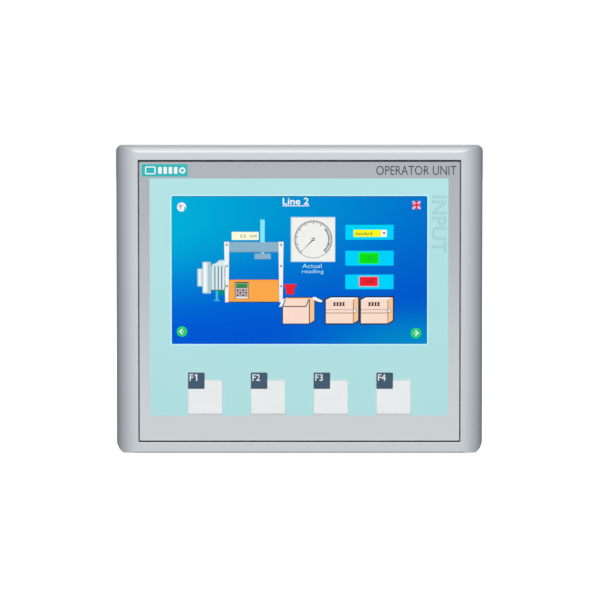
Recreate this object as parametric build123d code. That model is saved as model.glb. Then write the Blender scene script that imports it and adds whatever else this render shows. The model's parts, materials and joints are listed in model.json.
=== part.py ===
from build123d import *
import math
import os

# A flush-mounted operator panel: a 4.3 inch touch display and four function keys.
# Frame: +X right, +Z up, and -Y towards the person in front of the panel. The origin is
# the centre of the mounting cut-out, on the face of the bezel that rests on the cabinet.

# ---- Front bezel ---------------------------------------------------------------------
FRONT_WIDTH = 140.0
FRONT_HEIGHT = 118.4
BEZEL_DEPTH = 6.4
SIDE_ROLL_WIDTH = 8.0
SIDE_ROLL_RADIUS = 8.4
TOP_DRAFT = 0.7
TOP_EDGE_RADIUS = 2.1
BOTTOM_EDGE_RADIUS = 0.5
UPPER_CORNER_RADIUS = 2.4
LOWER_CORNER_RADIUS = 4.8
RECESS_WIDTH = 123.2
RECESS_HEIGHT = 108.4
RECESS_Z = -0.3
RECESS_DEPTH = 0.9
RECESS_RADIUS = 0.4
RECESS_EDGE_BREAK = 0.25
GUTTER_DEPTH = 1.1
LAND_INSET = 0.5
WEB = 2.0
POCKET_RADIUS = 1.5
FRONT_Y = -BEZEL_DEPTH
FLOOR_Y = FRONT_Y + RECESS_DEPTH
WEB_BACK_Y = FLOOR_Y + WEB

# ---- Overlay foil, window and display ------------------------------------------------
FOIL_WIDTH = 122.2
FOIL_HEIGHT = 107.1
FOIL_Z = -0.35
FOIL_THICKNESS = 0.4
FOIL_Y = FLOOR_Y - FOIL_THICKNESS
WINDOW_WIDTH = 97.5
WINDOW_HEIGHT = 56.8
WINDOW_Z = 11.7
WINDOW_GAP = 0.05
WINDOW_RADIUS = 0.4
MODULE_WIDTH = 105.5
MODULE_HEIGHT = 67.2
MODULE_Z = 11.9
MODULE_GAP = 0.3
MODULE_WALL = 0.3
MODULE_RADIUS = 0.3
LAYER_GAP = 0.05
TOUCH_FILM = 0.2
TOUCH_GLASS = 1.1
TOUCH_GLASS_Y = FLOOR_Y + TOUCH_FILM + LAYER_GAP
LCD_FRONT_Y = TOUCH_GLASS_Y + TOUCH_GLASS + 2 * LAYER_GAP
LCD_CELL = 1.3
LIGHT_GUIDE = 1.2
LCD_DEPTH = 2.9
LCD_BACK_Y = LCD_FRONT_Y + LCD_DEPTH

# ---- Function keys -------------------------------------------------------------------
KEY_COUNT = 4
KEY_PITCH = 24.0
KEY_WIDTH = 13.1
KEY_HEIGHT = 12.9
KEY_Z = -37.1
KEY_RADIUS = 0.3
KEY_PROUD = 0.2
KEY_GAP = 0.06
KEY_TRAVEL = 0.5
TILE_SIZE = 6.3
TILE_Z = -30.8
TILE_THICKNESS = 0.3
TILE_PROUD = 0.05
TILE_FIT = 0.1
KEY_WEB_GAP = 0.25
FLANGE_GAP = 0.05
FLANGE_LIP = 1.0
FLANGE_THICKNESS = 0.8
FLANGE_RADIUS = 0.8
PLUNGER_RADIUS = 2.6
KEY_FRONT_Y = FOIL_Y - KEY_PROUD
FLANGE_Y = WEB_BACK_Y + FLANGE_GAP

# ---- Key board behind the keys -------------------------------------------------------
KEY_BOARD_Y = 0.6
KEY_BOARD_THICKNESS = 1.2
KEY_BOARD_WIDTH = 100.0
KEY_BOARD_BOTTOM = -46.0
KEY_BOARD_TOP = -24.2
KEY_MAT_THICKNESS = 0.8
KEY_MAT_WIDTH = 90.0
KEY_MAT_HEIGHT = 15.4
KEY_MAT_Z = -35.15
MAT_HOLE_RADIUS = 4.2
PLUNGER_TIP_GAP = KEY_TRAVEL + 0.05
REST_PIN_RADIUS = 1.4
REST_PIN_COLUMNS = (-47.0, 0.0, 47.0)
REST_PIN_LEVELS = (-45.0, -26.0)

# ---- Rear housing --------------------------------------------------------------------
HOUSING_WIDTH = 122.0
HOUSING_HEIGHT = 98.0
HOUSING_DEPTH = 40.0
HOUSING_WALL = 2.0
HOUSING_RADIUS = 3.0
HOUSING_EDGE_RADIUS = 1.2
RIM_DEPTH = 1.5
RIM_GAP = 0.1
INNER_WIDTH = HOUSING_WIDTH - 2 * HOUSING_WALL
INNER_HEIGHT = HOUSING_HEIGHT - 2 * HOUSING_WALL
NICHE_HALF_WIDTH = 46.0
NICHE_Y = 18.0
NICHE_CEILING = -37.0
NICHE_WALL_BACK = 38.5
DOOR_FRONT_Y = 19.9
DOOR_TOP = -35.0
DOOR_GAP = 0.2
POST_X = 56.2
POST_Z = 42.5
POST_RADIUS = 3.0
BOSS_RADIUS = 2.7
POST_FOOT_RADIUS = 4.0
POST_FOOT_Y = 33.0
VENT_PITCH = 5.0
VENT_WIDTH = 2.2
TOP_VENT_SPAN = (23.0, 36.0)
REAR_VENT_SPAN = (33.0, 42.0)
BOTTOM_VENT_SPAN = (4.0, 13.0)
TOP_VENTS_EACH_SIDE = 8
BOTTOM_VENTS_EACH_SIDE = 5
GROOVE_STARTS = (24.0, 28.0, 32.0)
GROOVE_WIDTH = 1.6
GROOVE_DEPTH = 0.5
GROOVE_BOTTOM = -30.0
GROOVE_TOP = 34.0
PLATE_WIDTH = 60.0
PLATE_HEIGHT = 32.0
PLATE_RECESS = 0.5
PLATE_THICKNESS = 0.4
PLATE_FIT = 0.2
PLATE_X = 8.0
PLATE_Z = 8.0

# ---- Gasket in the back of the bezel -------------------------------------------------
GASKET_INNER_WIDTH = 126.0
GASKET_INNER_HEIGHT = 102.0
GASKET_BAND = 2.5
GASKET_DEPTH = 1.5
GASKET_INNER_RADIUS = 2.0
GASKET_OUTER_RADIUS = 4.0
GASKET_FIT = 0.1
GASKET_LIP_INSET = 0.7
GASKET_LIP_HEIGHT = 0.4

# ---- Screws --------------------------------------------------------------------------
M3_RADIUS = 1.5
M3_CLEARANCE = 0.1
M25_RADIUS = 1.25
HEAD_RADIUS = 2.75
HEAD_HEIGHT = 2.2
HEAD_SINK = 0.2
HEX_SOCKET_RADIUS = 1.4
HEX_SOCKET_DEPTH = 1.3
SMALL_HEAD_RADIUS = 2.2
SMALL_HEAD_HEIGHT = 1.5
CROSS_LENGTH = 2.6
CROSS_WIDTH = 0.6
CROSS_DEPTH = 0.7
SLOT_WIDTH = 0.6
RUNNING = 0.05
THREAD_END_Y = -4.3
BORE_END_Y = -4.5

# ---- Display bracket and main board --------------------------------------------------
BRACKET_Y = LCD_BACK_Y + 0.15
BRACKET_SHEET = 0.8
EAR_X = 56.2
EAR_LEVELS = (-8.0, 28.0)
EAR_BOSS_RADIUS = 2.4
EAR_INNER_X = 52.0
EAR_OUTER_X = 58.6
EAR_HALF_HEIGHT = 4.0
BRACKET_HALF_WIDTH = 52.6
BRACKET_TOP = 46.4
BRACKET_STEP_Z = -22.8
APRON_HALF_WIDTH = 50.0
BRACKET_WINDOWS = (-30.0, -10.0, 10.0, 30.0)
BRACKET_WINDOW_WIDTH = 12.0
BRACKET_WINDOW_HEIGHT = 22.0
BRACKET_WINDOW_Z = 14.0
STANDOFF_X = 46.0
STANDOFF_LEVELS = (-14.0, 38.0)
STANDOFF_RADIUS = 2.2
STANDOFF_BORE = 7.0
STANDOFF_THREAD = 6.0
BOARD_Y = 18.5
BOARD_THICKNESS = 1.6
BOARD_BACK_Y = BOARD_Y + BOARD_THICKNESS
BOARD_HALF_WIDTH = 52.0
BOARD_BOTTOM = -34.0
BOARD_TOP = 45.5
BOARD_NOTCH = 4.5

# ---- Flexible tails and their sockets ------------------------------------------------
RIBBON = 0.2
RIBBON_Z = -22.2
TOUCH_TAIL_LEFT = -41.0
TOUCH_TAIL_RIGHT = -29.0
DISPLAY_TAIL_LEFT = 8.0
DISPLAY_TAIL_RIGHT = 36.0
KEY_TAIL_LEFT = -14.0
KEY_TAIL_RIGHT = -4.0
KEY_TAIL_Z = -30.0
SOCKET_OVERHANG = 2.0
SOCKET_HEIGHT = 2.5

# ---- Parts on the main board: middle X, middle Z, width, height, thickness -----------
PROCESSOR = (-14.0, 18.0, 15.0, 15.0, 1.4)
MEMORY_LEVELS = (10.0, 26.0)
MEMORY_X = 14.0
MEMORY = (12.0, 9.0, 1.1)
TRANSFORMER = (38.0, -6.0, 12.7, 9.2, 5.5)
INDUCTOR = (-10.0, -6.0, 12.0, 12.0, 6.0)
INDUCTOR_WELL_RADIUS = 2.0
INDUCTOR_WELL_DEPTH = 1.0
SPREADER_SIZE = 30.0
SPREADER_BASE = 2.0
FIN_COUNT = 7
FIN_PITCH = 4.5
FIN_HALF_WIDTH = 0.6
FIN_HEIGHT = 6.0
FIN_HALF_LENGTH = 14.0
CAN_PLACES = ((-34.0, -4.0), (-24.0, -4.0), (-34.0, 8.0))
CAN_RADIUS = 4.0
CAN_HEIGHT = 10.0
CAN_BASE_HALF = 4.1
CAN_BASE_HEIGHT = 1.2

# ---- Network jack --------------------------------------------------------------------
JACK_X = 22.0
JACK_WIDTH = 16.0
JACK_HEIGHT = 13.4
JACK_DEPTH = 21.3
JACK_SHEET = 0.3
JACK_CAVITY_WIDTH = 11.9
JACK_MOUTH_FRONT = 22.6
JACK_MOUTH_BACK = 29.5
JACK_MOUTH_END = -22.0
LATCH_STEPS = ((3.1, 31.4, -24.0), (1.7, 32.6, -26.0))
CONTACT_COUNT = 8
CONTACT_PITCH = 1.02
CONTACT_RADIUS = 0.18
CONTACT_ROOT_Y = 22.8
CONTACT_PEAK_Y = 24.6
CONTACT_LEVELS = (-34.8, -28.0, -23.5)

# ---- Power connector -----------------------------------------------------------------
POWER_X = -24.0
POWER_PITCH = 5.08
POWER_Y = 24.7
HEADER_WIDTH = 12.8
HEADER_DEPTH = 9.2
HEADER_TOP = -24.0
HEADER_FLOOR = -26.0
HEADER_CAVITY_HALF_WIDTH = 5.5
HEADER_CAVITY_HALF_DEPTH = 3.7
PIN_RADIUS = 0.5
PIN_TIP = -34.5
PIN_TOP = -22.5
PIN_FOOT_BOTTOM = -23.4
PLUG_WIDTH = 11.4
PLUG_BODY_DEPTH = 10.4
PLUG_BOTTOM = -47.5
PLUG_SHOULDER = -37.5
PLUG_TOP = -27.0
PLUG_NOSE_HALF_WIDTH = 5.3
PLUG_NOSE_HALF_DEPTH = 3.5
PIN_HOLE_RADIUS = 0.65
PIN_HOLE_END = -36.0
WIRE_RADIUS = 1.3
WIRE_Y = 23.3
CLAMP_LEVEL = -42.5
CHAMBER_HALF_WIDTH = 2.1
CHAMBER_FRONT = 21.2
CHAMBER_BACK = 26.8
CHAMBER_HALF_HEIGHT = 2.5
TERMINAL_BORE = 1.3
TERMINAL_SEAT_Y = 28.2
TERMINAL_WELL = 2.0
TERMINAL_SHANK = 1.2
TERMINAL_TIP_Y = 24.65
TERMINAL_HEAD_RADIUS = 1.9
TERMINAL_HEAD_BACK = 29.7
TERMINAL_SLOT_FLOOR = 28.9
CAGE_HALF_WIDTH = 1.95
CAGE_HALF_HEIGHT = 2.3
CAGE_FRONT = 21.4
CAGE_BACK = 25.2
CAGE_WALL = 0.5

# ---- Earth blade ---------------------------------------------------------------------
BLADE_HALF_WIDTH = 3.15
BLADE_FRONT = 25.6
BLADE_THICKNESS = 0.8
BLADE_TIP = -45.0
BLADE_ROOT = -29.0
BLADE_HOLE_Z = -41.5
BLADE_HOLE_RADIUS = 0.85
BLADE_TIP_CHAMFER = 1.0
BLADE_SLOT_HALF_WIDTH = 3.5
BLADE_SLOT_GAP = 0.3

# ---- Mounting clips ------------------------------------------------------------------
CLIP_X = 38.0
CLIP_FRONT_Y = 8.6
CLIP_BACK_Y = 18.6
CLIP_HALF_WIDTH = 6.0
CLIP_FOOT_Z = 49.2
CLIP_TOP_Z = 54.6
CLIP_EDGE_RADIUS = 1.6
CLIP_GROOVE = (12.0, 15.2)
CLIP_GROOVE_DEPTH = 0.6
CLAMP_AXIS_Z = 52.0
PAD_RADIUS = 2.4
PAD_FRONT_Y = 6.2
PAD_BACK_Y = 8.2
SOCKET_Y = 6.85
CLAMP_HEAD_Y = 23.4
CLAMP_HEAD_RADIUS = 1.9
CLAMP_HEAD_HEIGHT = 1.8
CLAMP_SLOT_DEPTH = 0.9
PAD_CHAMFER = 0.4
TIP_GAP = 0.05
HOOK_X = 3.5
HOOK_HALF_WIDTH = 1.4
HOOK_FRONT = 9.5
HOOK_NECK_BACK = 13.0
HOOK_TIP_BACK = 14.6
HOOK_BOTTOM = 46.2
HOOK_NECK_BOTTOM = 46.3
HOOK_TIP_TOP = 46.9
HOOK_SLOT_FRONT = 9.2
HOOK_SLOT_BACK = 13.8
HOOK_SLOT_HALF_WIDTH = 1.6


# ---- Helpers -------------------------------------------------------------------------
def block(x0, x1, y0, y1, z0, z1):
    """A box between two corners."""
    middle = Pos((x0 + x1) / 2, (y0 + y1) / 2, (z0 + z1) / 2)
    return middle * Box(x1 - x0, y1 - y0, z1 - z0)


def panel_plate(width, height, y0, y1, radius=0.0, x=0.0, z=0.0):
    """A plate parallel to the front, with rounded corners."""
    outline = RectangleRounded(width, height, radius) if radius else Rectangle(width, height)
    return extrude(Plane.XZ.offset(-y1) * Pos(x, z) * outline, amount=y1 - y0)


def rod_y(radius, y0, y1, x, z):
    """A round bar along Y."""
    return extrude(Plane.XZ.offset(-y1) * Pos(x, z) * Circle(radius), amount=y1 - y0)


def rod_z(radius, z0, z1, x, y):
    """A round bar along Z."""
    return extrude(Plane.XY.offset(z0) * Pos(x, y) * Circle(radius), amount=z1 - z0)


def save(name, *solids):
    """Write one node: one solid, or a group of separate ones."""
    shape = solids[0] if len(solids) == 1 else Compound(children=list(solids))
    export_step(shape, f"parts/{name}.step")
    print(name, len(solids), round(sum(s.volume for s in solids), 2))


def corners(x, levels):
    """The four places left and right at two heights."""
    return [(side * x, level) for side in (-1, 1) for level in levels]


def key_x(index):
    """The middle of a key, counted from the left."""
    return (index - (KEY_COUNT - 1) / 2) * KEY_PITCH


def key_outline(x, grow=0.0):
    """The pad of a key together with the name tile on its top left corner."""
    pad = Pos(x, KEY_Z) * RectangleRounded(KEY_WIDTH + 2 * grow, KEY_HEIGHT + 2 * grow, KEY_RADIUS)
    tile_x = x - (KEY_WIDTH - TILE_SIZE) / 2
    tile = Pos(tile_x, TILE_Z) * RectangleRounded(TILE_SIZE + 2 * grow, TILE_SIZE + 2 * grow, KEY_RADIUS)
    return pad + tile


def key_prism(x, y0, y1, grow=0.0):
    """The key's outline as a solid between two depths."""
    return extrude(Plane.XZ.offset(-y1) * key_outline(x, grow), amount=y1 - y0)


# ---- Front: bezel, foil, window, keys --------------------------------------------------
def make_bezel():
    """The moulded frame that stands in front of the cabinet wall."""
    half = FRONT_WIDTH / 2
    shoulder = half - SIDE_ROLL_WIDTH
    roll_angle = math.degrees(math.asin(SIDE_ROLL_WIDTH / SIDE_ROLL_RADIUS))
    centre_y = FRONT_Y + SIDE_ROLL_RADIUS
    right = CenterArc((shoulder, centre_y), SIDE_ROLL_RADIUS, 270, roll_angle)
    left = CenterArc((-shoulder, centre_y), SIDE_ROLL_RADIUS, 270 - roll_angle, roll_angle)
    back = Polyline(right @ 1, (half, 0), (-half, 0), left @ 0)
    front = Line(left @ 1, right @ 0)
    rolled = extrude(make_face(right + back + left + front), amount=FRONT_HEIGHT / 2, both=True)

    top = FRONT_HEIGHT / 2
    lip = top - TOP_DRAFT
    side_face = make_face(Polyline((0, -top), (0, top), (FRONT_Y, lip), (FRONT_Y, -lip), close=True))
    side_face = fillet(side_face.vertices().sort_by(Axis.X)[:2].sort_by(Axis.Y)[-1], TOP_EDGE_RADIUS)
    side_face = fillet(side_face.vertices().sort_by(Axis.Y).sort_by(Axis.X)[0], BOTTOM_EDGE_RADIUS)
    drafted = extrude(Plane.YZ * side_face, amount=half, both=True)
    outline = Rectangle(FRONT_WIDTH, FRONT_HEIGHT)
    outline = fillet(outline.vertices().sort_by(Axis.Y)[-2:], UPPER_CORNER_RADIUS)
    outline = fillet(outline.vertices().sort_by(Axis.Y)[:2], LOWER_CORNER_RADIUS)
    silhouette = extrude(Plane.XZ * outline, amount=BEZEL_DEPTH)
    body = rolled & drafted & silhouette

    body -= panel_plate(RECESS_WIDTH, RECESS_HEIGHT, FRONT_Y, FLOOR_Y, RECESS_RADIUS, 0, RECESS_Z)
    front_edges = body.edges().filter_by_position(Axis.Y, FRONT_Y - LAYER_GAP, FRONT_Y + LAYER_GAP)
    inside_x = RECESS_WIDTH / 2 + LAYER_GAP
    inside_z = RECESS_HEIGHT / 2 + LAYER_GAP
    rim_edges = front_edges.filter_by_position(Axis.X, -inside_x, inside_x)
    rim_edges = rim_edges.filter_by_position(Axis.Z, RECESS_Z - inside_z, RECESS_Z + inside_z)
    body = fillet(rim_edges, RECESS_EDGE_BREAK)
    gutter_back = FLOOR_Y + GUTTER_DEPTH
    land_width = FOIL_WIDTH - 2 * LAND_INSET
    land_height = FOIL_HEIGHT - 2 * LAND_INSET
    gutter = panel_plate(RECESS_WIDTH, RECESS_HEIGHT, FLOOR_Y, gutter_back, RECESS_RADIUS, 0, RECESS_Z)
    land = panel_plate(land_width, land_height, FLOOR_Y, gutter_back, RECESS_RADIUS, 0, FOIL_Z)
    body -= gutter - land
    body -= panel_plate(INNER_WIDTH, INNER_HEIGHT, WEB_BACK_Y, 0, POCKET_RADIUS)
    rim = panel_plate(
        HOUSING_WIDTH + 2 * RIM_GAP,
        HOUSING_HEIGHT + 2 * RIM_GAP,
        -RIM_DEPTH,
        0,
        HOUSING_RADIUS,
    )
    body -= rim
    outer_band = panel_plate(
        GASKET_INNER_WIDTH + 2 * GASKET_BAND,
        GASKET_INNER_HEIGHT + 2 * GASKET_BAND,
        -GASKET_DEPTH,
        0,
        GASKET_OUTER_RADIUS,
    )
    inner_band = panel_plate(
        GASKET_INNER_WIDTH,
        GASKET_INNER_HEIGHT,
        -GASKET_DEPTH,
        0,
        GASKET_INNER_RADIUS,
    )
    body -= outer_band - inner_band

    for x, z in corners(POST_X, (-POST_Z, POST_Z)):
        body += rod_y(BOSS_RADIUS, WEB_BACK_Y, 0, x, z)
    for x, z in corners(EAR_X, EAR_LEVELS):
        body += rod_y(EAR_BOSS_RADIUS, WEB_BACK_Y, BRACKET_Y, x, z)
    for x in REST_PIN_COLUMNS:
        for z in REST_PIN_LEVELS:
            body += rod_y(REST_PIN_RADIUS, WEB_BACK_Y, KEY_BOARD_Y, x, z)

    body -= panel_plate(
        MODULE_WIDTH + 2 * MODULE_GAP,
        MODULE_HEIGHT + 2 * MODULE_GAP,
        FLOOR_Y,
        WEB_BACK_Y,
        MODULE_RADIUS,
        0,
        MODULE_Z,
    )
    notch_left = TOUCH_TAIL_LEFT - 2 * LAND_INSET
    notch_right = TOUCH_TAIL_RIGHT + 2 * LAND_INSET
    notch_bottom = RIBBON_Z - 3 * RIBBON
    notch_top = MODULE_Z - MODULE_HEIGHT / 2
    body -= block(notch_left, notch_right, TOUCH_GLASS_Y, WEB_BACK_Y, notch_bottom, notch_top)
    for index in range(KEY_COUNT):
        body -= key_prism(key_x(index), FLOOR_Y, WEB_BACK_Y, KEY_WEB_GAP)
    for x, z in corners(POST_X, (-POST_Z, POST_Z)):
        body -= rod_y(M3_RADIUS + RUNNING, BORE_END_Y, 0, x, z)
    for x, z in corners(EAR_X, EAR_LEVELS):
        body -= rod_y(M25_RADIUS + RUNNING, BORE_END_Y, BRACKET_Y, x, z)
    return body


def make_foil():
    """The printed polyester sheet over the front, open at the window and the keys."""
    sheet = panel_plate(FOIL_WIDTH, FOIL_HEIGHT, FOIL_Y, FLOOR_Y, RECESS_RADIUS, 0, FOIL_Z)
    sheet -= panel_plate(WINDOW_WIDTH, WINDOW_HEIGHT, FOIL_Y, FLOOR_Y, WINDOW_RADIUS, 0, WINDOW_Z)
    for index in range(KEY_COUNT):
        sheet -= key_prism(key_x(index), FOIL_Y, FLOOR_Y, KEY_GAP)
    return sheet


def make_key(x):
    """One key: the pad seen from the front, a lip behind the web and a plunger."""
    key = key_prism(x, KEY_FRONT_Y, FLANGE_Y)
    tile_x = x - (KEY_WIDTH - TILE_SIZE) / 2
    rebate_y = KEY_FRONT_Y - TILE_PROUD + TILE_THICKNESS
    key -= panel_plate(TILE_SIZE, TILE_SIZE, KEY_FRONT_Y, rebate_y, 0, tile_x, TILE_Z)
    lip_width = KEY_WIDTH + 2 * FLANGE_LIP
    lip_height = KEY_HEIGHT + 2 * FLANGE_LIP
    lip_back = FLANGE_Y + FLANGE_THICKNESS
    key += panel_plate(lip_width, lip_height, FLANGE_Y, lip_back, FLANGE_RADIUS, x, KEY_Z)
    key += rod_y(PLUNGER_RADIUS, lip_back, KEY_BOARD_Y - PLUNGER_TIP_GAP, x, KEY_Z)
    return key


def make_tile(x):
    """The dark name tile glued into the top left corner of a key."""
    tile_x = x - (KEY_WIDTH - TILE_SIZE) / 2
    y0 = KEY_FRONT_Y - TILE_PROUD
    side = TILE_SIZE - TILE_FIT
    return panel_plate(side, side, y0, y0 + TILE_THICKNESS, KEY_RADIUS, tile_x, TILE_Z)


def make_key_board():
    """The narrow circuit board under the keys."""
    middle = (KEY_BOARD_BOTTOM + KEY_BOARD_TOP) / 2
    height = KEY_BOARD_TOP - KEY_BOARD_BOTTOM
    back = KEY_BOARD_Y + KEY_BOARD_THICKNESS
    return panel_plate(KEY_BOARD_WIDTH, height, KEY_BOARD_Y, back, KEY_RADIUS, 0, middle)


def make_key_mat():
    """The silicone mat on the key board, with a well round each plunger."""
    front = KEY_BOARD_Y - KEY_MAT_THICKNESS
    mat = panel_plate(KEY_MAT_WIDTH, KEY_MAT_HEIGHT, front, KEY_BOARD_Y, POCKET_RADIUS, 0, KEY_MAT_Z)
    for index in range(KEY_COUNT):
        mat -= rod_y(MAT_HOLE_RADIUS, front, KEY_BOARD_Y, key_x(index), KEY_Z)
    return mat


# ---- Display stack -------------------------------------------------------------------
def module_plate(y0, y1, inset=0.0):
    """A layer with the outline of the display module."""
    width = MODULE_WIDTH - 2 * inset
    height = MODULE_HEIGHT - 2 * inset
    return panel_plate(width, height, y0, y1, MODULE_RADIUS, 0, MODULE_Z)


def make_display_stack():
    """Touch film and glass, then the liquid crystal cell and its light guide in a tray."""
    save("touch_film", module_plate(FLOOR_Y, FLOOR_Y + TOUCH_FILM))
    save("touch_glass", module_plate(TOUCH_GLASS_Y, TOUCH_GLASS_Y + TOUCH_GLASS))
    inset = MODULE_WALL + 2 * LAYER_GAP
    cell_back = LCD_FRONT_Y + LCD_CELL
    guide_front = cell_back + LAYER_GAP
    guide_back = guide_front + LIGHT_GUIDE
    save("lcd_cell", module_plate(LCD_FRONT_Y, cell_back, inset))
    save("light_guide", module_plate(guide_front, guide_back, inset))
    tray = module_plate(LCD_FRONT_Y, LCD_BACK_Y)
    tray -= module_plate(LCD_FRONT_Y, guide_back + LAYER_GAP, MODULE_WALL)
    save("lcd_frame", tray)


def make_bracket():
    """The sheet metal chassis that holds the display and the key board in the bezel."""
    back = BRACKET_Y + BRACKET_SHEET
    apron_y = KEY_BOARD_Y + KEY_BOARD_THICKNESS
    apron_back = apron_y + BRACKET_SHEET
    step_z = BRACKET_STEP_Z
    step_top = step_z + BRACKET_SHEET
    apron = APRON_HALF_WIDTH
    sheet = block(-BRACKET_HALF_WIDTH, BRACKET_HALF_WIDTH, BRACKET_Y, back, step_z, BRACKET_TOP)
    sheet += block(-apron, apron, BRACKET_Y, apron_back, step_z, step_top)
    sheet += block(-apron, apron, apron_y, apron_back, KEY_BOARD_BOTTOM, step_top)
    for x, z in corners(EAR_X, EAR_LEVELS):
        ends = sorted((math.copysign(EAR_INNER_X, x), math.copysign(EAR_OUTER_X, x)))
        sheet += block(ends[0], ends[1], BRACKET_Y, back, z - EAR_HALF_HEIGHT, z + EAR_HALF_HEIGHT)
        sheet -= rod_y(M25_RADIUS + M3_CLEARANCE, BRACKET_Y, back, x, z)
    for x, z in corners(STANDOFF_X, STANDOFF_LEVELS):
        sheet += rod_y(STANDOFF_RADIUS, back, BOARD_Y, x, z)
        sheet -= rod_y(M25_RADIUS + RUNNING, BOARD_Y - STANDOFF_BORE, BOARD_Y, x, z)
    slot_bottom = step_z - 1
    slot_top = RIBBON_Z + SOCKET_OVERHANG
    for left, right in ((TOUCH_TAIL_LEFT, TOUCH_TAIL_RIGHT), (DISPLAY_TAIL_LEFT, DISPLAY_TAIL_RIGHT)):
        x0 = left - SOCKET_OVERHANG
        x1 = right + SOCKET_OVERHANG
        sheet -= block(x0, x1, BRACKET_Y, apron_back, slot_bottom, slot_top)
    x0 = KEY_TAIL_LEFT - SOCKET_OVERHANG
    x1 = KEY_TAIL_RIGHT + SOCKET_OVERHANG
    sheet -= block(x0, x1, apron_y, apron_back, KEY_TAIL_Z - SLOT_WIDTH, KEY_TAIL_Z + SLOT_WIDTH)
    for x in BRACKET_WINDOWS:
        width = BRACKET_WINDOW_WIDTH
        height = BRACKET_WINDOW_HEIGHT
        sheet -= panel_plate(width, height, BRACKET_Y, back, HOUSING_WALL, x, BRACKET_WINDOW_Z)
    return sheet


def make_small_screws(points, tip_y, seat_y):
    """Short pan head screws along Y with their heads behind."""
    screws = []
    for x, z in points:
        screw = rod_y(M25_RADIUS, tip_y, seat_y, x, z)
        screw += rod_y(SMALL_HEAD_RADIUS, seat_y, seat_y + SMALL_HEAD_HEIGHT, x, z)
        head_back = seat_y + SMALL_HEAD_HEIGHT
        cross_y = head_back - CROSS_DEPTH
        screw -= panel_plate(CROSS_LENGTH, CROSS_WIDTH, cross_y, head_back, 0, x, z)
        screw -= panel_plate(CROSS_WIDTH, CROSS_LENGTH, cross_y, head_back, 0, x, z)
        screws.append(screw)
    return screws


def tail_socket(left, right, z):
    """A ribbon socket on the front of the main board."""
    x0 = left - SOCKET_OVERHANG
    x1 = right + SOCKET_OVERHANG
    return block(x0, x1, BOARD_Y - SOCKET_HEIGHT, BOARD_Y, z - SOCKET_OVERHANG, z + SOCKET_OVERHANG)


def folded_tail(left, right, root_y):
    """A flexible tail that leaves a module's lower edge and runs straight back to its socket."""
    low = RIBBON_Z - RIBBON / 2
    high = RIBBON_Z + RIBBON / 2
    module_edge = MODULE_Z - MODULE_HEIGHT / 2
    tail = block(left, right, root_y, BOARD_Y - SOCKET_HEIGHT, low, high)
    return tail + block(left, right, root_y, root_y + RIBBON, low, module_edge)


def make_ribbons():
    """The flexible tails from the touch panel, the display and the key board."""
    touch_root = TOUCH_GLASS_Y + 2 * RIBBON
    display_root = LCD_BACK_Y - 3 * RIBBON
    save("touch_tail", folded_tail(TOUCH_TAIL_LEFT, TOUCH_TAIL_RIGHT, touch_root))
    save("lcd_tail", folded_tail(DISPLAY_TAIL_LEFT, DISPLAY_TAIL_RIGHT, display_root))
    key_y = KEY_BOARD_Y + KEY_BOARD_THICKNESS
    end_y = BOARD_Y - SOCKET_HEIGHT
    low = KEY_TAIL_Z - RIBBON / 2
    high = KEY_TAIL_Z + RIBBON / 2
    save("key_tail", block(KEY_TAIL_LEFT, KEY_TAIL_RIGHT, key_y, end_y, low, high))
    sockets = [
        tail_socket(TOUCH_TAIL_LEFT, TOUCH_TAIL_RIGHT, RIBBON_Z),
        tail_socket(DISPLAY_TAIL_LEFT, DISPLAY_TAIL_RIGHT, RIBBON_Z),
        tail_socket(KEY_TAIL_LEFT, KEY_TAIL_RIGHT, KEY_TAIL_Z),
    ]
    save("ribbon_sockets", *sockets)


# ---- Main board and what is on it ----------------------------------------------------
def make_main_board():
    """The main circuit board, held by four screws on the bracket's standoffs."""
    half = BOARD_HALF_WIDTH
    board = block(-half, half, BOARD_Y, BOARD_BACK_Y, BOARD_BOTTOM, BOARD_TOP)
    for x, z in corners(STANDOFF_X, STANDOFF_LEVELS):
        board -= rod_y(M25_RADIUS + M3_CLEARANCE, BOARD_Y, BOARD_BACK_Y, x, z)
    for x in (-half, half):
        board -= rod_y(BOARD_NOTCH, BOARD_Y, BOARD_BACK_Y, x, BOARD_TOP)
    return board


def board_chip(place):
    """A flat package on the back of the main board."""
    x, z, width, height, thickness = place
    return panel_plate(width, height, BOARD_BACK_Y, BOARD_BACK_Y + thickness, KEY_RADIUS, x, z)


def make_heat_spreader(x, z, front_y):
    """A finned aluminium spreader on the processor."""
    base_back = front_y + SPREADER_BASE
    fin_back = base_back + FIN_HEIGHT
    spreader = panel_plate(SPREADER_SIZE, SPREADER_SIZE, front_y, base_back, 1.0, x, z)
    for index in range(FIN_COUNT):
        fin_x = x + (index - (FIN_COUNT - 1) / 2) * FIN_PITCH
        x0 = fin_x - FIN_HALF_WIDTH
        x1 = fin_x + FIN_HALF_WIDTH
        spreader += block(x0, x1, base_back, fin_back, z - FIN_HALF_LENGTH, z + FIN_HALF_LENGTH)
    return spreader


def make_capacitor(x, z):
    """A round can on a square base, in front of the main board."""
    base_y = BOARD_Y - CAN_BASE_HEIGHT
    base = CAN_BASE_HALF
    can = rod_y(CAN_RADIUS, BOARD_Y - CAN_HEIGHT, base_y, x, z)
    return can + block(x - base, x + base, base_y, BOARD_Y, z - base, z + base)


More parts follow.
